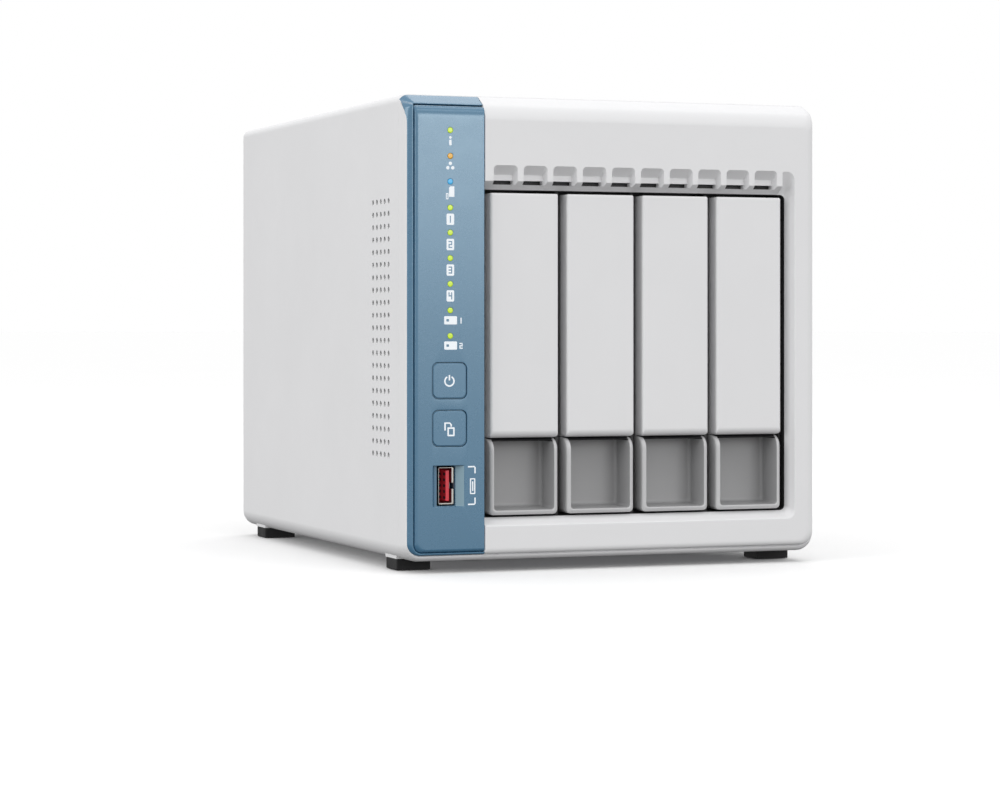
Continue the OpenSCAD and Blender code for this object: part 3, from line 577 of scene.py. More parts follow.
# rim of the bezel round the control panel: left side and foot
m = Mesh()
sec = [(-102.05, 0.0), (-104.0, 0.0), (-106.0, 0.0), (-107.2, 0.21), (-108.0, 0.62), (-108.2, 0.8), (-108.27, 0.95), (-108.25, 1.15), (-108.0, 1.3), (-106.5, 1.35), (-104.0, 1.35), (-102.05, 1.35)]
foot = [(-102.05, 4.0), (-104.2, 4.02), (-106.2, 4.2), (-107.1, 4.6), (-107.75, 5.15), (-108.0, 5.55), (-108.07, 5.85), (-107.95, 6.1), (-107.6, 6.2), (-106.5, 6.2), (-104.0, 6.2), (-102.05, 6.2)]


def rim_top(y):
    """height at which the control panel takes over from the rim"""
    pts = [(-108.3, 158.8), (-108.0, 160.8), (-107.3, 162.9), (-105.0, 165.5), (-102.0, 167.1)]
    for (ya, za), (yb, zb) in zip(pts, pts[1:]):
        if y <= yb:
            w = min(max((y - ya) / (yb - ya), 0), 1)
            return za + (zb - za) * w
    return pts[-1][1]


cols = []
for (ys, o), (yf, zf) in zip(sec, foot):
    pts = [(EDGE - 0.02, yf, zf)]
    r = 6.0 - o * 0.9
    x0, z0 = -HW + o, zf
    nseg = 12
    for k in range(nseg + 1):
        t = k / nseg * PI / 2
        w = k / nseg
        pts.append((x0 + r - r * math.sin(t), yf * (1 - w) + ys * w, z0 + r - r * math.cos(t)))
    pts.append((x0, ys, 60.0))
    pts.append((x0, ys, 110.0))
    pts.append((x0, ys, rim_top(ys)))
    cols.append(m.ring(pts))
for a, b in zip(cols, cols[1:]):
    for i in range(len(a) - 1):
        m.face((a[i], a[i + 1], b[i + 1], b[i]))
a, b = cols[-1], cols[0]
for i in range(len(a) - 1):
    m.face((a[i], a[i + 1], b[i + 1], b[i]))
m.face([c[0] for c in cols])
m.face([c[-1] for c in cols])
# wall behind the panel, with its window
slab_vs = m.loft([rrect(-78.2, 6.4, EDGE - 0.05, 163.0, -106.5, (5, 0.2, 0.2, 1.5)), rrect(-78.2, 6.4, EDGE - 0.05, 163.0, -102.2, (5, 0.2, 0.2, 1.5))], (False, False))
win = m.loft([rrect(-74, 16, -54, 160, -106.5, 0.5), rrect(-74, 16, -54, 160, -102.2, 0.5)], (False, False))
m.fill([slab_vs[0], win[0]])
m.fill([slab_vs[1], win[1]])
finish_mesh(m, "bezel_rim", ["bezel_white"], "case", ["front_bezel"])


# ------------------------------------------------------------------ control panel
SX = -63.6
LX = SX + 0.25
LED_Z = [156.1, 147.0, 138.0, 128.8, 120.0, 111.0, 101.9, 92.6, 83.6]
PE = -50.45


def outer_x(y):
    """left side of the case at depth y"""
    return -HW + (0 if y > -106 else 3.5 - math.sqrt(max(3.5 ** 2 - (y + 106) ** 2, 0)))


m = Mesh()
# the rim: a band along the foot, the left side and the top of the raised tile
L = [(-106.6, -78.25), (-107.6, -78.25), (-108.28, -78.35), (-108.32, -79.12), (-108.5, -78.95), (-108.8, -78.5), (-109.02, -77.98), (-109.14, -77.55), (-109.17, -77.3),
     (-109.12, -77.12), (-108.98, -76.98), (-108.75, -76.86), (-108.55, -76.78), (-108.2, -76.75), (-107.2, -76.6), (-106.6, -76.8)]
B = [(-106.6, 6.6), (-107.4, 6.5), (-107.85, 6.4), (-108.1, 6.28), (-108.45, 6.32), (-108.75, 6.42), (-108.95, 6.58), (-109.06, 6.75), (-109.1, 6.9),
     (-109.06, 7.02), (-108.95, 7.1), (-108.75, 7.17), (-108.5, 7.22), (-108.1, 7.25), (-107.2, 7.4), (-106.6, 7.3)]
T = [(-102.1, 167.3), (-102.12, 168.2), (-102.15, 168.66), (-102.6, 168.42), (-103.6, 167.82), (-105.0, 166.95), (-106.2, 166.2), (-106.85, 165.8), (-107.1, 165.6),
     (-107.12, 165.42), (-107.0, 165.3), (-106.8, 165.22), (-106.5, 165.1), (-106.1, 164.9), (-105.4, 165.1), (-104.0, 166.0)]
cols = []
for k in range(16):
    pts = [(PE, B[k][0], B[k][1]), (-60.0, B[k][0], B[k][1])]
    dl, db = L[k][1] + 79.12, B[k][1] - 6.28
    r = max(4.6 - (dl + db) / 2, 0.3)
    for j in range(11):
        t = j / 10 * PI / 2
        w = j / 10
        pts.append((L[k][1] + r - r * math.sin(t), B[k][0] * (1 - w) + L[k][0] * w, B[k][1] + r - r * math.cos(t)))
    pts += [(L[k][1], L[k][0], z) for z in (30.0, 80.0, 130.0)]
    ncor = 16
    for j in range(ncor + 1):
        u = j / ncor
        # where the white edge stands
        if j <= 11:
            y = -108.32 + 6.2 * (j / 11) ** 0.8
            ox, oz = outer_x(y) + 0.02, rim_top(y)
            if j == 0:
                ox, oz = -79.12, 158.6
        else:
            y = -102.12
            ph = math.radians(28 + 62 * (j - 11) / (ncor - 11))
            ox, oz = -77.0 - 3.0 * math.cos(ph), 165.68 + 3.0 * math.sin(ph)
        ph = u * PI / 2
        w = min(max((u - 0.15) / 0.6, 0.0), 1.0)
        w = w * w * (3 - 2 * w)
        ri = 1.5
        ix, iz = -77.3 + ri - ri * math.cos(ph), 165.6 - ri + ri * math.sin(ph)
        iy = -109.17 * (1 - w) + -107.1 * w
        dx, dz = ix - ox, iz - oz
        ln = math.hypot(dx, dz)
        if k < 3:
            o = (1 - w) * (0.87, 0.87, 0.77)[k] + w * (1.36, 0.46, 0.02)[k]
            yy = min(y + (1 - w) * (1.72, 0.72, 0.04)[k] + w * (0.05, 0.03, 0.0)[k], -102.1)
            pts.append((ox + dx / ln * o, yy, oz + dz / ln * o))
        elif k < 9:
            fa = (1 - w) * (L[k][1] - L[3][1]) / (L[8][1] - L[3][1]) + w * (T[k][1] - T[2][1]) / (T[8][1] - T[2][1])
            fb = (1 - w) * (L[k][0] - L[3][0]) / (L[8][0] - L[3][0]) + w * (T[k][0] - T[2][0]) / (T[8][0] - T[2][0])
            pts.append((ox + dx * fa, y + (iy - y) * fb, oz + dz * fa))
        else:
            e = min((1 - w) * (L[k][1] - L[8][1]) + w * (T[8][1] - T[k][1]), 1.3)
            pts.append((ix + e * math.cos(ph), (1 - w) * L[k][0] + w * T[k][0], iz - e * math.sin(ph)))
    pts += [(-72.0, T[k][0], T[k][1]), (PE - 0.5, T[k][0], T[k][1])]
    cy_, cz_ = -104.9, 166.4
    for d_, q_ in ((0.2, 0.06), (0.06, 0.2), (0.0, 0.42)):
        vy, vz = cy_ - T[k][0], cz_ - T[k][1]
        ln = math.hypot(vy, vz) or 1
        q_ = min(q_, ln * 0.5)
        pts.append((PE - d_, T[k][0] + vy / ln * q_, T[k][1] + vz / ln * q_))
    cols.append(m.ring(pts))
for a, b in zip(cols, cols[1:] + cols[:1]):
    for i in range(len(a) - 1):
        m.face((a[i], a[i + 1], b[i + 1], b[i]))
m.face([c[0] for c in cols])
m.face([c[-1] for c in cols])
panel_rim = finish_mesh(m, "panel_rim", ["strip_blue"], "case", ["control_panel"])

# the raised tile with its holes
m = Mesh()
FY = -109.4
tile = []
TT = [(-106.2, 164.72), (-106.9, 164.62), (-107.5, 164.46), (-108.1, 164.14), (-108.6, 163.68), (-108.97, 163.1), (-109.22, 162.3), (-109.36, 161.4), (FY, 160.5)]
TL = [(-107.6, -76.68), (-108.2, -76.68), (-108.5, -76.62), (-108.7, -76.5), (-108.9, -76.34), (-109.08, -76.14), (-109.24, -75.9), (-109.35, -75.62), (FY, -75.2)]
TB = [(-107.6, 7.33), (-108.2, 7.33), (-108.5, 7.38), (-108.7, 7.46), (-108.92, 7.6), (-109.1, 7.76), (-109.25, 7.96), (-109.35, 8.2), (FY, 8.55)]
TR = [(-107.4, PE), (-107.9, PE), (-108.3, PE), (-108.7, PE), (-109.0, PE), (-109.15, PE - 0.02), (-109.27, PE - 0.07), (-109.36, PE - 0.16), (FY, PE - 0.3)]
for k in range(9):
    tile.append(pring([("z", TB[k][1], TB[k][0]), ("x", TR[k][1], TR[k][0]), ("z", TT[k][1], TT[k][0]), ("x", TL[k][1], TL[k][0])],
                      [0.3, 0.3, 1.2, 2.7], 8))
vs = m.loft(tile, (False, False))
BW = 12.3
BACK = -107.4
holes_f, holes_b = [], []
for z in (67.8, 51.0):
    h = BW / 2 + 0.33
    hv = m.loft([rrect(SX - h - .22, z - h - .22, SX + h + .22, z + h + .22, FY, 2.5), rrect(SX - h - .08, z - h - .08, SX + h + .08, z + h + .08, FY + 0.06, 2.35),
                 rrect(SX - h, z - h, SX + h, z + h, FY + 0.25, 2.25), rrect(SX - h, z - h, SX + h, z + h, BACK, 2.25)], (False, False))
    holes_f.append(hv[0]); holes_b.append(hv[-1])
for z in LED_Z:
    hv = m.loft([circle(LX, FY, z, 1.13), circle(LX, FY + 0.08, z, 1.05), circle(LX, BACK, z, 1.05)], (False, False))
    holes_f.append(hv[0]); holes_b.append(hv[-1])
hv = m.loft([rrect(-69.95, 23.2, -57.95, 38.05, FY, (0.4, 0.4, 0.4, 0.4), 4), rrect(-69.8, 23.35, -58.15, 37.9, FY + 0.12, (0.3, 0.3, 0.3, 0.3), 4),
             rrect(-68.75, 23.4, -60.65, 37.88, -107.5, (0.3, 0.3, 0.3, 0.3), 4), rrect(-68.65, 23.4, -60.75, 37.88, BACK, (0.3, 0.3, 0.3, 0.3), 4)], (False, False))
holes_f.append(hv[0]); holes_b.append(hv[-1])
m.fill([vs[-1]] + holes_f)
back = m.ring([(x, BACK, z) for x, y, z in tile[0]])
m.bridge(vs[0], back)
m.fill([back] + holes_b)
# the slanted wall on the socket's right takes the lighter ramp blue: painted light
for f in m.bm.faces:
    c_ = f.calc_center_median() / MM
    if -60.7 < c_.x < -58.1 and 23.5 < c_.z < 37.8 and c_.y > FY + 0.1:
        f.material_index = 1
finish_mesh(m, "panel_tile", ["strip_blue", "ramp_blue"], "case", ["control_panel"])


# ------------------------------------------------------------------ keys and lights
for name, z, body in (("power_button", 67.8, "power_key"), ("copy_button", 51.0, "copy_key")):
    m = Mesh()
    h = BW / 2
    slab(m, SX - h, z - h, SX + h, z + h, FY, -106.6, r=2.1, f=0.32, g=0.2, n=8, s=4)
    slab(m, SX - h - 0.2, z - h - 0.2, SX + h + 0.2, z + h + 0.2, FY + 0.42, -107.2, r=2.2, f=0.05, g=0.05, n=8, s=2)
    slab(m, SX - h + 1, z - h + 1, SX + h - 1, z + h - 1, -106.7, -105.4, r=1.5, f=0.1, g=0.1, n=4, s=2)
    lathe(m, SX, z, [(-105.6, 2.0), (-103.0, 2.0), (-102.6, 1.7)], 24)
    finish_mesh(m, name + "_cap", ["button_blue"], body, [name])

for name, idx in (("leds_green", (0, 3, 4, 5, 6, 7, 8)), ("led_amber", (1,)), ("led_cyan", (2,))):
    m = Mesh()
    for i in idx:
        z = LED_Z[i]
        lathe(m, LX, z, [(FY + 0.005, 0.12), (FY + 0.006, 0.5), (FY + 0.01, 0.86), (FY + 0.04, 0.97), (FY + 0.12, 1.0), (-106.5, 1.0), (-106.4, 1.5), (-105, 1.5), (-104.9, 1.0), (-101.6, 1.0)], 24)
    finish_mesh(m, name + "_lenses", ["led_green" if name == "leds_green" else name], "case", [name])


# white marks, a few hundredths of a millimetre thick
MY0, MY1 = FY - 0.045, FY + 0.02


class Marks(Mesh):
    def poly(self, pts):
        self.loft([[(x, MY0, z) for x, z in pts], [(x, MY1, z) for x, z in pts]])

    def rect(self, x0, z0, x1, z1, r=0.12):
        self.loft([rrect(x0, z0, x1, z1, MY0, r, 3), rrect(x0, z0, x1, z1, MY1, r, 3)])

    def dot(self, x, z, r):
        self.loft([circle(x, MY0, z, r, 20), circle(x, MY1, z, r, 20)])

    def arc(self, x, z, r, w, a0, a1, n=30):
        out = [(x + (r + w / 2) * math.cos(a0 + (a1 - a0) * k / n), z + (r + w / 2) * math.sin(a0 + (a1 - a0) * k / n)) for k in range(n + 1)]
        inn = [(x + (r - w / 2) * math.cos(a0 + (a1 - a0) * k / n), z + (r - w / 2) * math.sin(a0 + (a1 - a0) * k / n)) for k in range(n, -1, -1)]
        f = self.ring([(p[0], MY0, p[1]) for p in out + inn])
        b = self.ring([(p[0], MY1, p[1]) for p in out + inn])
        self.bridge(f, b)
        t = n + 1
        for k in range(n):
            self.face((f[k], f[k + 1], f[2 * t - 2 - k], f[2 * t - 1 - k]))
            self.face((b[k], b[k + 1], b[2 * t - 2 - k], b[2 * t - 1 - k]))

    def frame(self, x0, z0, x1, z1, w, r=0.3, inner=None):
        """a box with a window; inner is the window, by default a wall of w all round"""
        inner = inner or (x0 + w, z0 + w, x1 - w, z1 - w)
        of = self.ring(rrect(x0, z0, x1, z1, MY0, r, 4))
        ob = self.ring(rrect(x0, z0, x1, z1, MY1, r, 4))
        jf = self.ring(rrect(*inner, MY0, r * 0.5, 4))
        jb = self.ring(rrect(*inner, MY1, r * 0.5, 4))
        self.bridge(of, ob)
        self.bridge(jf, jb)
        self.bridge(of, jf)
        self.bridge(ob, jb)


    def pierced(self, x0, z0, x1, z1, bars, c=0.3):
        """a plate with level and upright slots left open; its corners are cut by c"""
        xs = sorted({x0, x0 + c, x1 - c, x1, *[q[0] for q in bars], *[q[2] for q in bars]})
        zs = sorted({z0, z0 + c, z1 - c, z1, *[q[1] for q in bars], *[q[3] for q in bars]})
        cells = {}
        for i in range(len(xs) - 1):
            for j in range(len(zs) - 1):
                cx, cz = (xs[i] + xs[i + 1]) / 2, (zs[j] + zs[j + 1]) / 2
                if not any(q[0] < cx < q[2] and q[1] < cz < q[3] for q in bars):
                    cells[(i, j)] = True
        ni, nj = len(xs) - 2, len(zs) - 2
        cut = {(0, 0): (0, 0), (ni, 0): (ni + 1, 0), (ni, nj): (ni + 1, nj + 1), (0, nj): (0, nj + 1)}
        cache = {}

        def v(i, j, y):
            if (i, j, y) not in cache:
                cache[(i, j, y)] = self.bm.verts.new((xs[i] * MM, y * MM, zs[j] * MM))
            return cache[(i, j, y)]

        for i, j in cells:
            loop = [p for p in ((i, j), (i + 1, j), (i + 1, j + 1), (i, j + 1)) if cut.get((i, j)) != p]
            self.face([v(*p, MY0) for p in loop])
            self.face([v(*p, MY1) for p in loop][::-1])
            for k, p in enumerate(loop):
                q = loop[(k + 1) % len(loop)]
                if p[0] != q[0] and p[1] != q[1]:
                    other = None
                elif p[1] == q[1]:
                    other = (min(p[0], q[0]), j - 1 if p[1] == j else j + 1)
                else:
                    other = (i - 1 if p[0] == i else i + 1, min(p[1], q[1]))
                if other not in cells:
                    self.face([v(*p, MY0), v(*q, MY0), v(*q, MY1), v(*p, MY1)])


SEG = {"1": ["m"], "2": ["t", "ur", "c", "ll", "b"], "3": ["t", "ur", "c", "lr", "b"], "4": ["ul", "c", "ur", "lr"]}


def digit_bars(d, x, z, w, h, s):
    """bars of a plain figure centred on x, z"""
    x0, x1, z0, z1 = x - w / 2, x + w / 2, z - h / 2, z + h / 2
    bars = {"t": (x0, z1 - s, x1, z1), "b": (x0, z0, x1, z0 + s), "c": (x0, z - s / 2, x1, z + s / 2), "ul": (x0, z, x0 + s, z1), "ur": (x1 - s, z, x1, z1),
            "ll": (x0, z0, x0 + s, z), "lr": (x1 - s, z0, x1, z), "m": (x - s / 2, z0, x + s / 2, z1)}
    return [bars[k] for k in SEG[d]]


m = Marks()
# status
m.dot(LX, 153.55, 0.48)
m.rect(LX - 0.46, 150.75, LX + 0.46, 152.65, 0.2)
# network
m.dot(LX, 144.4, 0.62)
m.dot(LX - 0.95, 142.85, 0.62)
m.dot(LX + 0.9, 142.85, 0.62)
# copy: a page and a small stick
m.poly([(LX + 0.0, 136.3), (LX + 1.5, 136.3), (LX + 1.5, 132.6), (LX - 0.5, 132.6), (LX - 0.5, 135.8)])
m.frame(LX - 1.65, 131.7, LX - 0.72, 133.9, 0.3, 0.15)
# modules 1 and 2
for d, z in (("1", 89.1), ("2", 80.2)):
    m.frame(LX - 2.3, z - 1.45, LX + 2.5, z + 1.45, 0.0, 0.35, (LX - 1.5, z - 0.45, LX - 0.5, z + 0.45))
    for q in digit_bars(d, LX + 4.0, z - 0.1, 1.25, 2.1, 0.42):
        m.rect(*q, 0.08)
# brackets beside the front socket
for s, z in ((1, 37.65), (-1, 23.85)):
    x0, x1 = -56.75, -53.85
    m.poly([(x0, z), (x0, z - 0.5 * s), (x1 - 0.5, z - 0.5 * s), (x1 - 0.5, z - 2.6 * s), (x1, z - 2.6 * s), (x1, z - 0.5 * s), (x1 - 0.5, z)])
# a small socket outline between the brackets
m.frame(-56.0, 27.7, -54.0, 33.3, 0.42, 0.3)
m.rect(-55.2, 28.8, -54.75, 32.2, 0.1)
marks = finish_mesh(m, "panel_marks", ["mark_white"], "case", (), weighted=False)

# drive boxes with the figure left open in them
m = Marks()
for d, z in (("1", 124.7), ("2", 115.8), ("3", 106.8), ("4", 97.7)):
    m.pierced(LX - 1.42, z - 2.0, LX + 1.42, z + 2.0, digit_bars(d, LX, z, 1.4, 2.5, 0.42))
finish_mesh(m, "drive_marks", ["mark_white"], "case", (), weighted=False)

for body, z in (("power_key", 67.8),):
    m = Marks()
    m.arc(SX - 0.1, z - 0.15, 1.7, 0.55, PI / 2 + 0.5, PI * 2.5 - 0.5)
    m.rect(SX - 0.1 - 0.28, z + 0.1, SX - 0.1 + 0.28, z + 2.05, 0.12)
    finish_mesh(m, "power_mark", ["mark_white"], body, (), weighted=False)
m = Marks()
z = 50.7
m.poly([(SX - 2.0, z + 2.45), (SX + 0.1, z + 2.45), (SX + 0.1, z + 1.95), (SX - 1.45, z + 1.95), (SX - 1.45, z - 0.4), (SX - 2.0, z - 0.4)])
m.poly([(SX + 0.1, z + 2.45), (SX + 0.85, z + 1.7), (SX + 0.85, z + 0.9), (SX + 0.3, z + 0.9), (SX + 0.3, z + 1.5), (SX + 0.1, z + 1.7)])
m.frame(SX - 0.85, z - 2.45, SX + 1.85, z + 0.7, 0.55, 0.25)
finish_mesh(m, "copy_mark", ["mark_white"], "copy_key", (), weighted=False)


# ------------------------------------------------------------------ front socket
m = Mesh()
o4 = rrect(-67.6, 24.2, -61.5, 37.2, -107.5, 0.5, 4)
seq = [(-107.45, 0.05, 0), (-107.3, 0.0, 0), (-93.0, 0.0, 0), (-93.0, 1.0, 0), (-107.3, 1.0, 0), (-107.45, 0.9, 0)]
rings = [rrect(-67.1 + 0.16 * i, 24.2 + 0.45 * i, -61.5 - 0.75 * i, 37.2 - 0.2 * i, y, 0.55 - i * 0.3, 4) for y, i, _ in seq]
m.loft(rings, closed=True)
shell = finish_mesh(m, "usb_shield", ["socket_steel"], "case", ["front_usb_shell"])
c = Mesh()
for z0, z1 in ((29.6, 31.8),):
    c.loft([rrect(-62.9, z0, -61.0, z1, -108, 0.05, 1), rrect(-62.9, z0, -61.0, z1, -103.4, 0.05, 1)])
carve(shell, c, "notch_cutter")
resharpen(shell, 32)
m = Mesh()
box(m, (-64.35, -107.1, 25.3), (-63.0, -94.3, 36.1), 0.2)
box(m, (-66.9, -96.0, 24.7), (-62.3, -94.1, 36.7), 0.1)
finish_mesh(m, "usb_tongue", ["tongue_red"], "case", ["front_usb_tongue"])
m = Mesh()
for i in range(5):
    z = 26.5 + i * 2.07
    for y0, y1 in ((-106.7, -104.8), (-102.2, -100.2)):
        box(m, (-64.45, y0, z - 0.48), (-64.37, y1, z + 0.48), 0.03)
finish_mesh(m, "usb_contacts", ["shade_and_contact_black"], "case", ())
m = Mesh()
lin = [rrect(-69.4, 22.9, -60.3, 38.4, -107.2, 0.3, 3), rrect(-69.4, 22.9, -60.3, 38.4, -99.3, 0.3, 3), rrect(-67.7, 23.6, -60.9, 37.8, -99.3, 0.3, 3), rrect(-67.7, 23.6, -60.9, 37.8, -107.2, 0.3, 3)]
m.loft(lin, closed=True)
finish_mesh(m, "usb_surround", ["strip_blue"], "case", ())


# ------------------------------------------------------------------ trays
BAYS = [-34.57 + 29.45 * i for i in range(4)]


def front_at(z):
    """depth of the pocket's front edge at height z"""
    t = min(max((z - 42.9) / 4.15, 0.0), 1.0)
    return -107.3 + 5.9 * (1 - math.sqrt(max(1 - t * t, 0.0)))


def pocket_ring(c0, i_side, i_bot, i_top, r, depth, n=5):
    x0, x1, z0, z1 = c0 - 13 + i_side, c0 + 13 - i_side, 19.8 + i_bot, 47.05 - i_top
    rb, rt = r, 0.35
    up = [z0 + rb + (41.0 - z0 - rb) * k / 4 for k in range(1, 5)] + [42.9 + (z1 - rt - 42.9) * math.sin(k / 8 * PI / 2) for k in range(0, 8)]
    pts = []
    for k in range(n + 1):
        t = k / n * PI / 2
        pts.append((x0 + rb - rb * math.cos(t), z0 + rb - rb * math.sin(t)))
    for k in range(n + 1):
        t = k / n * PI / 2
        pts.append((x1 - rb + rb * math.sin(t), z0 + rb - rb * math.cos(t)))
    pts += [(x1, z) for z in up]
    for k in range(4):
        t = k / 3 * PI / 2
        pts.append((x1 - rt + rt * math.cos(t), z1 - rt + rt * math.sin(t)))
    for k in range(4):
        t = k / 3 * PI / 2
        pts.append((x0 + rt - rt * math.sin(t), z1 - rt + rt * math.cos(t)))
    pts += [(x0, z) for z in up[::-1]]
    return [(x, depth(z), z) for x, z in pts]


def pocket_rings(c0):
    R, out = 1.25, [pocket_ring(c0, 0, 0, 0, 1.6, lambda z: -94.4), pocket_ring(c0, 0, 0, 0, 1.6, lambda z: -98.0)]
    for k in range(6):
        t = k / 5 * PI / 2
        q = R * (1 - math.cos(t))
        dy = R * (1 - math.sin(t))
        out.append(pocket_ring(c0, q, q * 1.1, q * 0.5, 1.6 - q * 0.3, lambda z, dy=dy: front_at(z) + dy))
    out.append(pocket_ring(c0, R + 0.15, R * 1.1 + 0.12, 0.7, 1.15, lambda z: front_at(z) + 0.05))
    out.append(pocket_ring(c0, R + 0.28, R * 1.1 + 0.25, 0.78, 1.1, lambda z: front_at(z) + 0.2))
    out.append(pocket_ring(c0, R + 0.35, R * 1.1 + 0.35, 0.8, 1.0, lambda z: front_at(z) + 0.5))
    for w in (0.35, 0.7, 1.0):
        out.append(pocket_ring(c0, R + 0.4, R * 1.1 + 0.4 + 0.5 * w, 0.8, 1.0, lambda z, w=w: (front_at(z) + 0.5) * (1 - w) - 96.2 * w))
    for k in range(1, 6):
        t = k / 5 * PI / 2
        q = 1.3 * (1 - math.cos(t))
        out.append(pocket_ring(c0, R + 0.4 + q, R * 1.1 + 0.9 + q, 0.8 + q * 0.5, 1.0 + q * 0.3, lambda z, t=t: -96.2 + 1.3 * math.sin(t)))
    return out
for i, c0 in enumerate(BAYS):
    b = "tray_%d" % (i + 1)
    # white front
    m = Mesh()
    slab(m, c0 - 13, 47.25, c0 + 13, 134.4, -107.5, -100.8, r=(1.0, 1.0, 0.7, 0.7), f=(2.7, 0.9, 0.8, 1.1), g=0.2, n=6, s=8)
    finish_mesh(m, "tray_cap_%d" % (i + 1), ["tray_white"], b, ["tray_front_%d" % (i + 1)])
    # grey body: a finger pocket whose front edge runs back under the white front
    m = Mesh()
    vs_ = [m.ring(r) for r in pocket_rings(c0)]
    for a_, b_ in zip(vs_, vs_[1:]):
        m.bridge(a_, b_)
    m.face(vs_[0])
    m.face(vs_[-1])
    # the inside of the finger pocket takes the darker tray_pocket grey: painted shade
    for f in m.bm.faces:
        c_ = f.calc_center_median() / MM
        if abs(c_.x - c0) < 11.6 and 21.0 < c_.z and -107.0 < c_.y < -94.6:
            f.material_index = 1
            # the pocket's ceiling under the white front takes the black plastic: painted shade
            if c_.z > 45.6:
                f.material_index = 2
    # block behind the white front
    box(m, (c0 - 10.8, -105.2, 49.8), (c0 + 10.8, -100.75, 132.2), 0.4)
    box(m, (c0 - 13, -100.6, 47.1), (c0 + 13, -94.4, 134.4), 0.4)
    body_o = finish_mesh(m, "tray_carrier_%d" % (i + 1), ["tray_grey", "tray_pocket", "black_plastic"], b, ["tray_body_%d" % (i + 1)])
    for tag, za, zb, bore, head in (("low", 19.8, 26.2, 19.8, 0), ("high", 128.0, 134.4, 134.4, 1)):
        m = Mesh()
        box(m, (c0 - 11, -94.6, za), (c0 + 11, 50, zb), 0.6)
        rail = finish_mesh(m, "tray_rail_%s_%d" % (tag, i + 1), ["tray_grey"], b, ["tray_body_%d" % (i + 1)])
        c = Mesh()
        for y in (-76.1, 25.5):
            c.loft([circle(c0, y, za - 1, 1.75, 24, "z"), circle(c0, y, zb + 1, 1.75, 24, "z")])
        carve(rail, c, "bore_cutter")
        c = Mesh()
        for y in (-76.1, 25.5):
            lo, hi = (za - 1, za + 3.2) if not head else (zb - 3.2, zb + 1)
            c.loft([circle(c0, y, lo, 3.3, 32, "z"), circle(c0, y, hi, 3.3, 32, "z")])
            # weight-saving recess beside each screw
        for y0 in (-60, -35, -10, 36):
            lo, hi = (za - 1, za + 2.0) if not head else (zb - 2.0, zb + 1)
            for xx in (c0 - 5.2, c0 + 5.2):
                w = 9.5 if y0 != 36 else 5
                c.loft([[(xx - 3.6, y0, lo), (xx + 3.6, y0, lo), (xx + 3.6, y0 + w * 2, lo), (xx - 3.6, y0 + w * 2, lo)], [(xx - 3.6, y0, hi), (xx + 3.6, y0, hi), (xx + 3.6, y0 + w * 2, hi), (xx - 3.6, y0 + w * 2, hi)]])
        carve(rail, c, "seat_cutter")
        resharpen(rail, 32)


# ------------------------------------------------------------------ case cover
m = Mesh()
W = 2.4


def cover_ring(y, i, n=8):
    ib = 6.4 + 0.0
    return pring([
        ("z", 4.0 + i, y), ("x", HW - i, y), ("z", TOP - i, y), ("x", -HW + i, y), ("z", 4.0 + i, y), ("x", -57.8, y),
        ("z", ib, y), ("x", -HW + W, y), ("z", TOP - W, y), ("x", HW - W, y), ("z", ib, y), ("x", 57.8, y)],
        [6.0 - i * 0.8, 3.0 - i * 0.6, 3.0 - i * 0.6, 6.0 - i * 0.8, 0.2, 0.2, 3.6, 0.8, 0.8, 3.6, 0.2, 0.2], n)


levels = [(-102.0, 0.3), (-101.92, 0.12), (-101.75, 0.0), (-100.5, 0.0), (102.4, 0.0), (102.85, 0.08), (103.2, 0.3), (103.42, 0.62), (103.5, 1.0)]
vs = [m.ring(cover_ring(y, i)) for y, i in levels]
NS = 8 + 1
side_q = {"ro": 1 * NS - 1, "lo": 3 * NS - 1, "li": 7 * NS - 1, "ri": 9 * NS - 1}
for k, (a, b) in enumerate(zip(vs, vs[1:])):
    m.bridge(a, b, skip=tuple(side_q.values()) if k == 3 else ())
m.fill([vs[0]])
m.fill([vs[-1]])
HY = [-72.7 - 4.45 * i for i in range(5)]
HZ = [131.7 - 4.53 * j for j in range(21)]
PYP, PZP = 4.45 / 2, 4.53 / 2


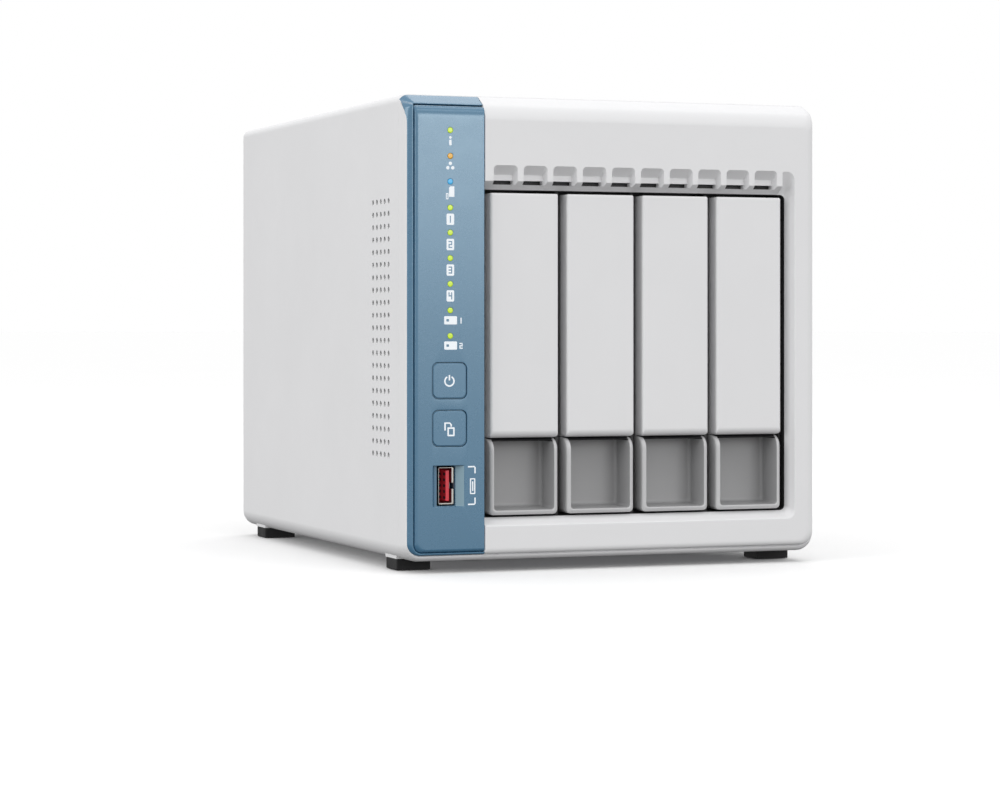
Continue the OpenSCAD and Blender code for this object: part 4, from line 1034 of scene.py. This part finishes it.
def perforated(x_out, x_in, quad_out, quad_in):
    rows = {}
    for tag, x in (("o", x_out), ("i", x_in)):
        cache = {}

        def vert(y, z, cache=cache, x=x):
            key = (round(y, 3), round(z, 3))
            if key not in cache:
                cache[key] = m.bm.verts.new((x * MM, y * MM, z * MM))
            return cache[key]

        for i, y in enumerate(HY):
            for j, z in enumerate(HZ):
                bnd = []
                for s in range(16):
                    t = s / 16 * 4
                    e, w = int(t), t - int(t)
                    c4 = [(-1, -1), (1, -1), (1, 1), (-1, 1), (-1, -1)]
                    u = c4[e][0] + (c4[e + 1][0] - c4[e][0]) * w
                    v = c4[e][1] + (c4[e + 1][1] - c4[e][1]) * w
                    bnd.append(vert(y + u * PYP, z + v * PZP))
                rr_ = 1.0 if tag == "i" else 1.0
                hole = [m.bm.verts.new((x * MM, (y + rr_ * math.cos(-3 * PI / 4 + 2 * PI * s / 16)) * MM, (z + rr_ * math.sin(-3 * PI / 4 + 2 * PI * s / 16)) * MM)) for s in range(16)]
                m.bridge(bnd, hole)
                rows[(tag, i, j)] = hole
        y0, y1, z0, z1 = HY[-1] - PYP, HY[0] + PYP, HZ[-1] - PZP, HZ[0] + PZP
        loop = []
        for i in range(5 * 4):
            loop.append(vert(y0 + i * PYP / 2, z0))
        for j in range(21 * 4):
            loop.append(vert(y1, z0 + j * PZP / 2))
        for i in range(5 * 4):
            loop.append(vert(y1 - i * PYP / 2, z1))
        for j in range(21 * 4):
            loop.append(vert(y0, z1 - j * PZP / 2))
        m.fill([quad_out if tag == "o" else quad_in, loop])
    # the inner part of each hole's wall takes the near-black material: painted shade inside the perforations
    xm = x_out + (x_in - x_out) * 0.22
    for i, y in enumerate(HY):
        for j, z in enumerate(HZ):
            mid = [m.bm.verts.new((xm * MM, v.co.y, v.co.z)) for v in rows[("o", i, j)]]
            m.bridge(rows[("o", i, j)], mid)
            m.bridge(mid, rows[("i", i, j)], 1)


def quad_at(q):
    a, b = vs[3], vs[4]
    n = len(a)
    return [a[q], a[(q + 1) % n], b[(q + 1) % n], b[q]]


perforated(HW, HW - W, quad_at(side_q["ro"]), quad_at(side_q["ri"]))
perforated(-HW, -HW + W, quad_at(side_q["lo"]), quad_at(side_q["li"]))
# pedestals over the feet
for x in (-71, 71):
    for y in (-85.8, 84.5):
        box(m, (x - 6.7, y - 6.2, 4.0), (x + 6.7, y + 6.2, 9.0), 0.4)
# inner bosses and ledges
for x in (-70.5, 70.5):
    box(m, (x - 4.5, 88, 157.6), (x + 4.5, 101.3, 166.7), 0.3)
box(m, (66, 88, 6.3), (75, 101.3, 15.4), 0.3)
for x in (-48, 66):
    box(m, (x - 1, -80, 137.4), (x + 1, 40, 166.7), 0.2)
cover = finish_mesh(m, "cover_shell", ["shell_white", "shade_and_contact_black"], "case", ["case_cover"])

# feet
m = Mesh()
for x in (-71, 71):
    for y in (-85.8, 84.5):
        # plate in the level plane: rings go up along Z
        rings = []
        for z, i in ((0.0, 0.35), (0.08, 0.14), (0.25, 0.03), (0.5, 0.0), (3.7, 0.0), (3.92, 0.06), (4.0, 0.2)):
            q = [(px, py) for px, _, py in rrect(x - 6.4 + i, y - 6 + i, x + 6.4 - i, y + 6 - i, 0, 0.5 - i * 0.5, 4)]
            rings.append([(a, bb, z) for a, bb in q])
        m.loft(rings)
finish_mesh(m, "foot_pads", ["foot_rubber"], "case", ["rubber_feet"])


# ------------------------------------------------------------------ back of the box
m = Mesh()
for x, z in ((-70.5, 161.8), (70.5, 161.8), (70.5, 10.9)):
    lathe(m, x, z, [(91, 1.2), (91.4, 1.55), (103.0, 1.55), (103.0, 4.0), (104.1, 4.0), (104.3, 3.8)], 32)
    # knurled head
    n = 40
    rings = []
    for y, r in ((104.2, 3.6), (104.5, 4.25), (108.9, 4.25), (109.3, 3.9), (109.5, 3.5)):
        rings.append([(x + (r + (0.22 if (k % 2 == 0 and 104.3 < y < 109.2) else 0)) * math.cos(2 * PI * k / n), y, z + (r + (0.22 if (k % 2 == 0 and 104.3 < y < 109.2) else 0)) * math.sin(2 * PI * k / n)) for k in range(n)])
    m.loft(rings)
screws = finish_mesh(m, "thumb_screw_heads", ["screw_black"], "case", ["rear_thumb_screws"], angle=24)
c = Mesh()
for x, z in ((-70.5, 161.8), (70.5, 161.8), (70.5, 10.9)):
    c.loft([rrect(x - 2.6, z - 0.5, x + 2.6, z + 0.5, 108.3, 0.1, 1), rrect(x - 2.6, z - 0.5, x + 2.6, z + 0.5, 110.5, 0.1, 1)])
carve(screws, c, "drive_cutter_a")
c = Mesh()
for x, z in ((-70.5, 161.8), (70.5, 161.8), (70.5, 10.9)):
    c.loft([rrect(x - 0.5, z - 2.6, x + 0.5, z + 2.6, 108.3, 0.1, 1), rrect(x - 0.5, z - 2.6, x + 0.5, z + 2.6, 110.5, 0.1, 1)])
carve(screws, c, "drive_cutter_b")
resharpen(screws, 24)

# rotor with curved blades
m = Mesh()
FX, FZ, FY0 = 9.5, 86.0, 76.4
lathe(m, FX, FZ, [(FY0 + 1.0, 0.05), (FY0 + 1.0, 17.5), (FY0 + 1.25, 18.8), (FY0 + 1.9, 19.7), (FY0 + 3.0, 20.0), (FY0 + 20.0, 20.0), (FY0 + 20.0, 18.2), (FY0 + 4.0, 18.0), (FY0 + 4.0, 2.0), (FY0 + 19.5, 2.0), (FY0 + 19.8, 1.6)], 64)
for b in range(7):
    base = 2 * PI * b / 7
    rows = []
    NR, NC = 9, 9
    for i in range(NR):
        r = 19.0 + (55.6 - 19.0) * i / (NR - 1)
        pitch = math.radians(48 - 20 * i / (NR - 1))
        chord = 20 + 15 * i / (NR - 1)
        sweep = 0.30 * (i / (NR - 1)) ** 1.4
        front, back_ = [], []
        for j in range(NC):
            s = (j / (NC - 1) - 0.5)
            camber = 1.8 * (1 - (2 * s) ** 2)
            dy = min(max(s * chord * math.sin(pitch), -8.6), 8.6)
            dt = s * chord * math.cos(pitch) / r
            th = 0.75 * (1 - (2 * abs(s)) ** 3 * 0.6)
            ang = base + dt + sweep
            yy = FY0 + 11.0 + dy - camber * math.cos(pitch)
            front.append((FX + r * math.cos(ang), yy - th, FZ + r * math.sin(ang)))
            back_.append((FX + r * math.cos(ang), yy + th, FZ + r * math.sin(ang)))
        rows.append(front + back_[::-1])
    m.loft(rows)
finish_mesh(m, "rotor_blades", ["rotor_black"], "rotor", ["fan_rotor"], angle=40)

# round wires of the finger guard
m = Mesh()


def torus(m, x, y, z, r, w, n=96, k=12):
    rings = []
    for i in range(n):
        a = 2 * PI * i / n
        rings.append([(x + (r + w * math.cos(2 * PI * j / k)) * math.cos(a), y + w * math.sin(2 * PI * j / k), z + (r + w * math.cos(2 * PI * j / k)) * math.sin(a)) for j in range(k)])
    m.loft(rings, closed=True)


for r in (14, 24, 34, 44, 54):
    torus(m, FX, 105.2, FZ, r, 0.75)
for q in range(4):
    a = PI / 4 + q * PI / 2
    ca, sa = math.cos(a), math.sin(a)
    path = [(13.2, 104.25), (40, 104.25), (66, 104.2), (69.2, 103.95)]
    rings = []
    for r, y in path:
        rings.append([(FX + r * ca - 0.8 * math.cos(t) * sa, y + 0.8 * math.sin(t), FZ + r * sa + 0.8 * math.cos(t) * ca) for t in [2 * PI * j / 12 for j in range(12)]])
    m.loft(rings)
    torus(m, FX + 74.25 * ca, 103.9, FZ + 74.25 * sa, 3.35, 0.85, 40, 12)
finish_mesh(m, "guard_wires", ["guard_wire"], "case", ["fan_guard"], angle=60)

# gold contacts in the network sockets
m = Mesh()
for z in (88, 108):
    for i in range(8):
        zz = z - 3.55 + i * 1.02
        rings = []
        for x, y in ((-74.3, 91.0), (-73.3, 93.5), (-70.6, 99.0), (-70.1, 99.6)):
            rings.append([(x - 0.18, y, zz - 0.2), (x + 0.18, y, zz - 0.2), (x + 0.18, y, zz + 0.2), (x - 0.18, y, zz + 0.2)])
        m.loft(rings)
finish_mesh(m, "lan_contacts", ["gold"], "case", ())


# ------------------------------------------------------------------ carried-over CAD nodes
replaced = set()
for o in PIECES.values():
    r = o.get("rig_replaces")
    if r:
        replaced.update(r if not isinstance(r, str) else [r])
for name, o in NODES.items():
    mt = MAT[slot_of[name]]
    if not o.data.materials:
        o.data.materials.append(mt)
    for i in range(len(o.data.materials)):
        o.data.materials[i] = mt
for name, width in (("base_pan", 0.35), ("rear_panel", 0.25), ("base_screws", 0.2), ("fan_frame", 0.5), ("lan_jack_1", 0.2), ("lan_jack_2", 0.2), ("rear_usb_shells", 0.15), ("rear_usb_tongues", 0.1),
                    ("dc_inlet", 0.25), ("fan_screws", 0.25), ("drive_cage", 0.3), ("bay_guides", 0.3), ("cpu_heatsink", 0.2), ("sata_sockets", 0.25), ("tray_screws_1", 0.2),
                    ("tray_screws_2", 0.2), ("tray_screws_3", 0.2), ("tray_screws_4", 0.2), *[("drive_body_%d" % k, 0.8) for k in range(1, 5)], *[("drive_lid_%d" % k, 0.3) for k in range(1, 5)],
                    *[("drive_board_%d" % k, 0.1) for k in range(1, 5)], ("main_board", 0.15), ("ram_module", 0.1), ("m2_ssd_1", 0.1), ("m2_ssd_2", 0.1), ("front_io_board", 0.1), ("backplane_board", 0.1), ("reset_button", 0.2)):
    o = NODES[name]
    b = o.modifiers.new("edge_round", "BEVEL")
    b.width = width * MM
    b.segments = 2
    b.limit_method = "ANGLE"
    b.angle_limit = math.radians(40)
    b.harden_normals = False
    w = o.modifiers.new("even_normals", "WEIGHTED_NORMAL")
    w.keep_sharp = True


# ------------------------------------------------------------------ small parts on the drives
for i, c0 in enumerate(BAYS):
    m = Mesh()
    x = c0 - 12.62
    for y0, z0, y1, z1, h in ((-30.4, 59.6, -11.6, 78.4, 0.5), (-0.3, 85.7, 14.3, 96.3, 0.5), (4.7, 49.7, 17.3, 58.3, 0.5)):
        box(m, (x - h, y0, z0), (x + 0.05, y1, z1), 0.12)
    for k in range(9):
        y0, z0 = (-50 + (k * 37) % 88, 38 + (k * 53) % 78)
        box(m, (x - 0.35, y0, z0), (x + 0.05, y0 + 2.4, z0 + 1.5), 0.08)
    finish_mesh(m, "drive_chips_%d" % (i + 1), ["black_plastic"], "tray_%d" % (i + 1), ())
    m = Mesh()
    for k in range(26):
        y0, z0 = (-55 + (k * 29) % 97, 35.5 + (k * 47) % 82)
        box(m, (x - 0.28, y0, z0), (x + 0.05, y0 + 1.5, z0 + 0.8), 0.06)
    for k in range(6):
        box(m, (x - 0.4, 26.0, 40.0 + k * 4.2), (x + 0.05, 29.2, 42.0 + k * 4.2), 0.1)
    for z in (34.5, 119.5):
        for y in (-58.5, 46.0):
            lathe_x = [(x - 0.3, 0.3), (x - 0.34, 1.5), (x - 0.2, 2.1), (x + 0.02, 2.2)]
            m.loft([[(px, y + r * math.cos(2 * PI * q / 20), z + r * math.sin(2 * PI * q / 20)) for q in range(20)] for px, r in lathe_x])
    finish_mesh(m, "drive_parts_%d" % (i + 1), ["zinc_steel"], "tray_%d" % (i + 1), ())
    m = Mesh()
    lx = c0 + 13.045
    m.loft([[(px, y, z) for y, z in ((-83.5, 38), (-82.5, 37), (36.5, 37), (37.5, 38), (37.5, 116), (36.5, 117), (-82.5, 117), (-83.5, 116))] for px in (lx, lx + 0.06)])
    finish_mesh(m, "drive_label_%d" % (i + 1), ["label_pale"], "tray_%d" % (i + 1), ())


# ------------------------------------------------------------------ floor and light
def stage_plane(name, size, loc, mat_name, rgb, rough):
    me = bpy.data.meshes.new(name)
    s = size / 2
    me.from_pydata([(-s, -s, 0), (s, -s, 0), (s, s, 0), (-s, s, 0)], [], [(0, 1, 2, 3)])
    o = bpy.data.objects.new(name, me)
    o.location = loc
    bpy.context.scene.collection.objects.link(o)
    n = Nodes(mat_name)
    f = n.noise(3, 2)
    n.link(n.mix(n.remap(f, 0.3, 0.7, 0, 1), scaled(rgb, 0.995), rgb), n.p.inputs["Base Color"])
    n.p.inputs["Roughness"].default_value = rough
    n.p.inputs["Specular IOR Level"].default_value = 0.0
    me.materials.append(n.m)
    return o


floor = stage_plane("floor", 120, (0, 0, -0.0002), "floor_pale", (0.995, 0.995, 0.995), 1.0)
floor.visible_diffuse = False
floor.visible_glossy = False


def area(name, loc, target, sx, sy, power, color=(1, 1, 1)):
    l = bpy.data.lights.new(name, "AREA")
    l.shape = "RECTANGLE"
    l.size, l.size_y = sx, sy
    l.energy = power
    l.color = color
    o = bpy.data.objects.new(name, l)
    o.location = loc
    d = Vector(target) - Vector(loc)
    o.rotation_euler = d.to_track_quat("-Z", "Y").to_euler()
    bpy.context.scene.collection.objects.link(o)
    return o


area("top_soft", (0.46, 0.66, 1.46), (-0.05, -0.1, 0.165), 0.7, 0.6, 1.5)
area("front_soft", (0.47, -1.62, 0.42), (0, 0, 0.1), 0.55, 0.5, 4.1)
area("edge_soft", (0.4, -1.15, 1.5), (0, 0, 0.12), 0.6, 0.45, 1.2)
area("left_soft", (-1.72, -0.5, 0.62), (0, 0, 0.08), 1.0, 1.0, 8.2)

world = bpy.data.worlds.new("studio")
bpy.context.scene.world = world
world.use_nodes = True
wt = world.node_tree
bg = wt.nodes["Background"]
wc = wt.nodes.new("ShaderNodeTexCoord")
ws = wt.nodes.new("ShaderNodeSeparateXYZ")
wr = wt.nodes.new("ShaderNodeMapRange")
wr.interpolation_type = "SMOOTHSTEP"
for i, v in enumerate((-0.25, -0.01, 0.18, 1.0)):
    wr.inputs[1 + i].default_value = v
wq = wt.nodes.new("ShaderNodeMapRange")
wq.interpolation_type = "SMOOTHSTEP"
for i, v in enumerate((0.08, 0.45, 1.0, 1.0)):
    wq.inputs[1 + i].default_value = v
wm = wt.nodes.new("ShaderNodeMath")
wm.operation = "MULTIPLY"
wt.links.new(wc.outputs["Generated"], ws.inputs[0])
wt.links.new(ws.outputs["Z"], wr.inputs[0])
wt.links.new(ws.outputs["Z"], wq.inputs[0])
wt.links.new(wr.outputs[0], wm.inputs[0])
wt.links.new(wq.outputs[0], wm.inputs[1])
wt.links.new(wm.outputs[0], bg.inputs[1])
bg.inputs[0].default_value = (1, 1, 1, 1)
vs_ = bpy.context.scene.view_settings
vs_.view_transform = "Standard"
vs_.look = "None"
vs_.exposure = 0
vs_.gamma = 1
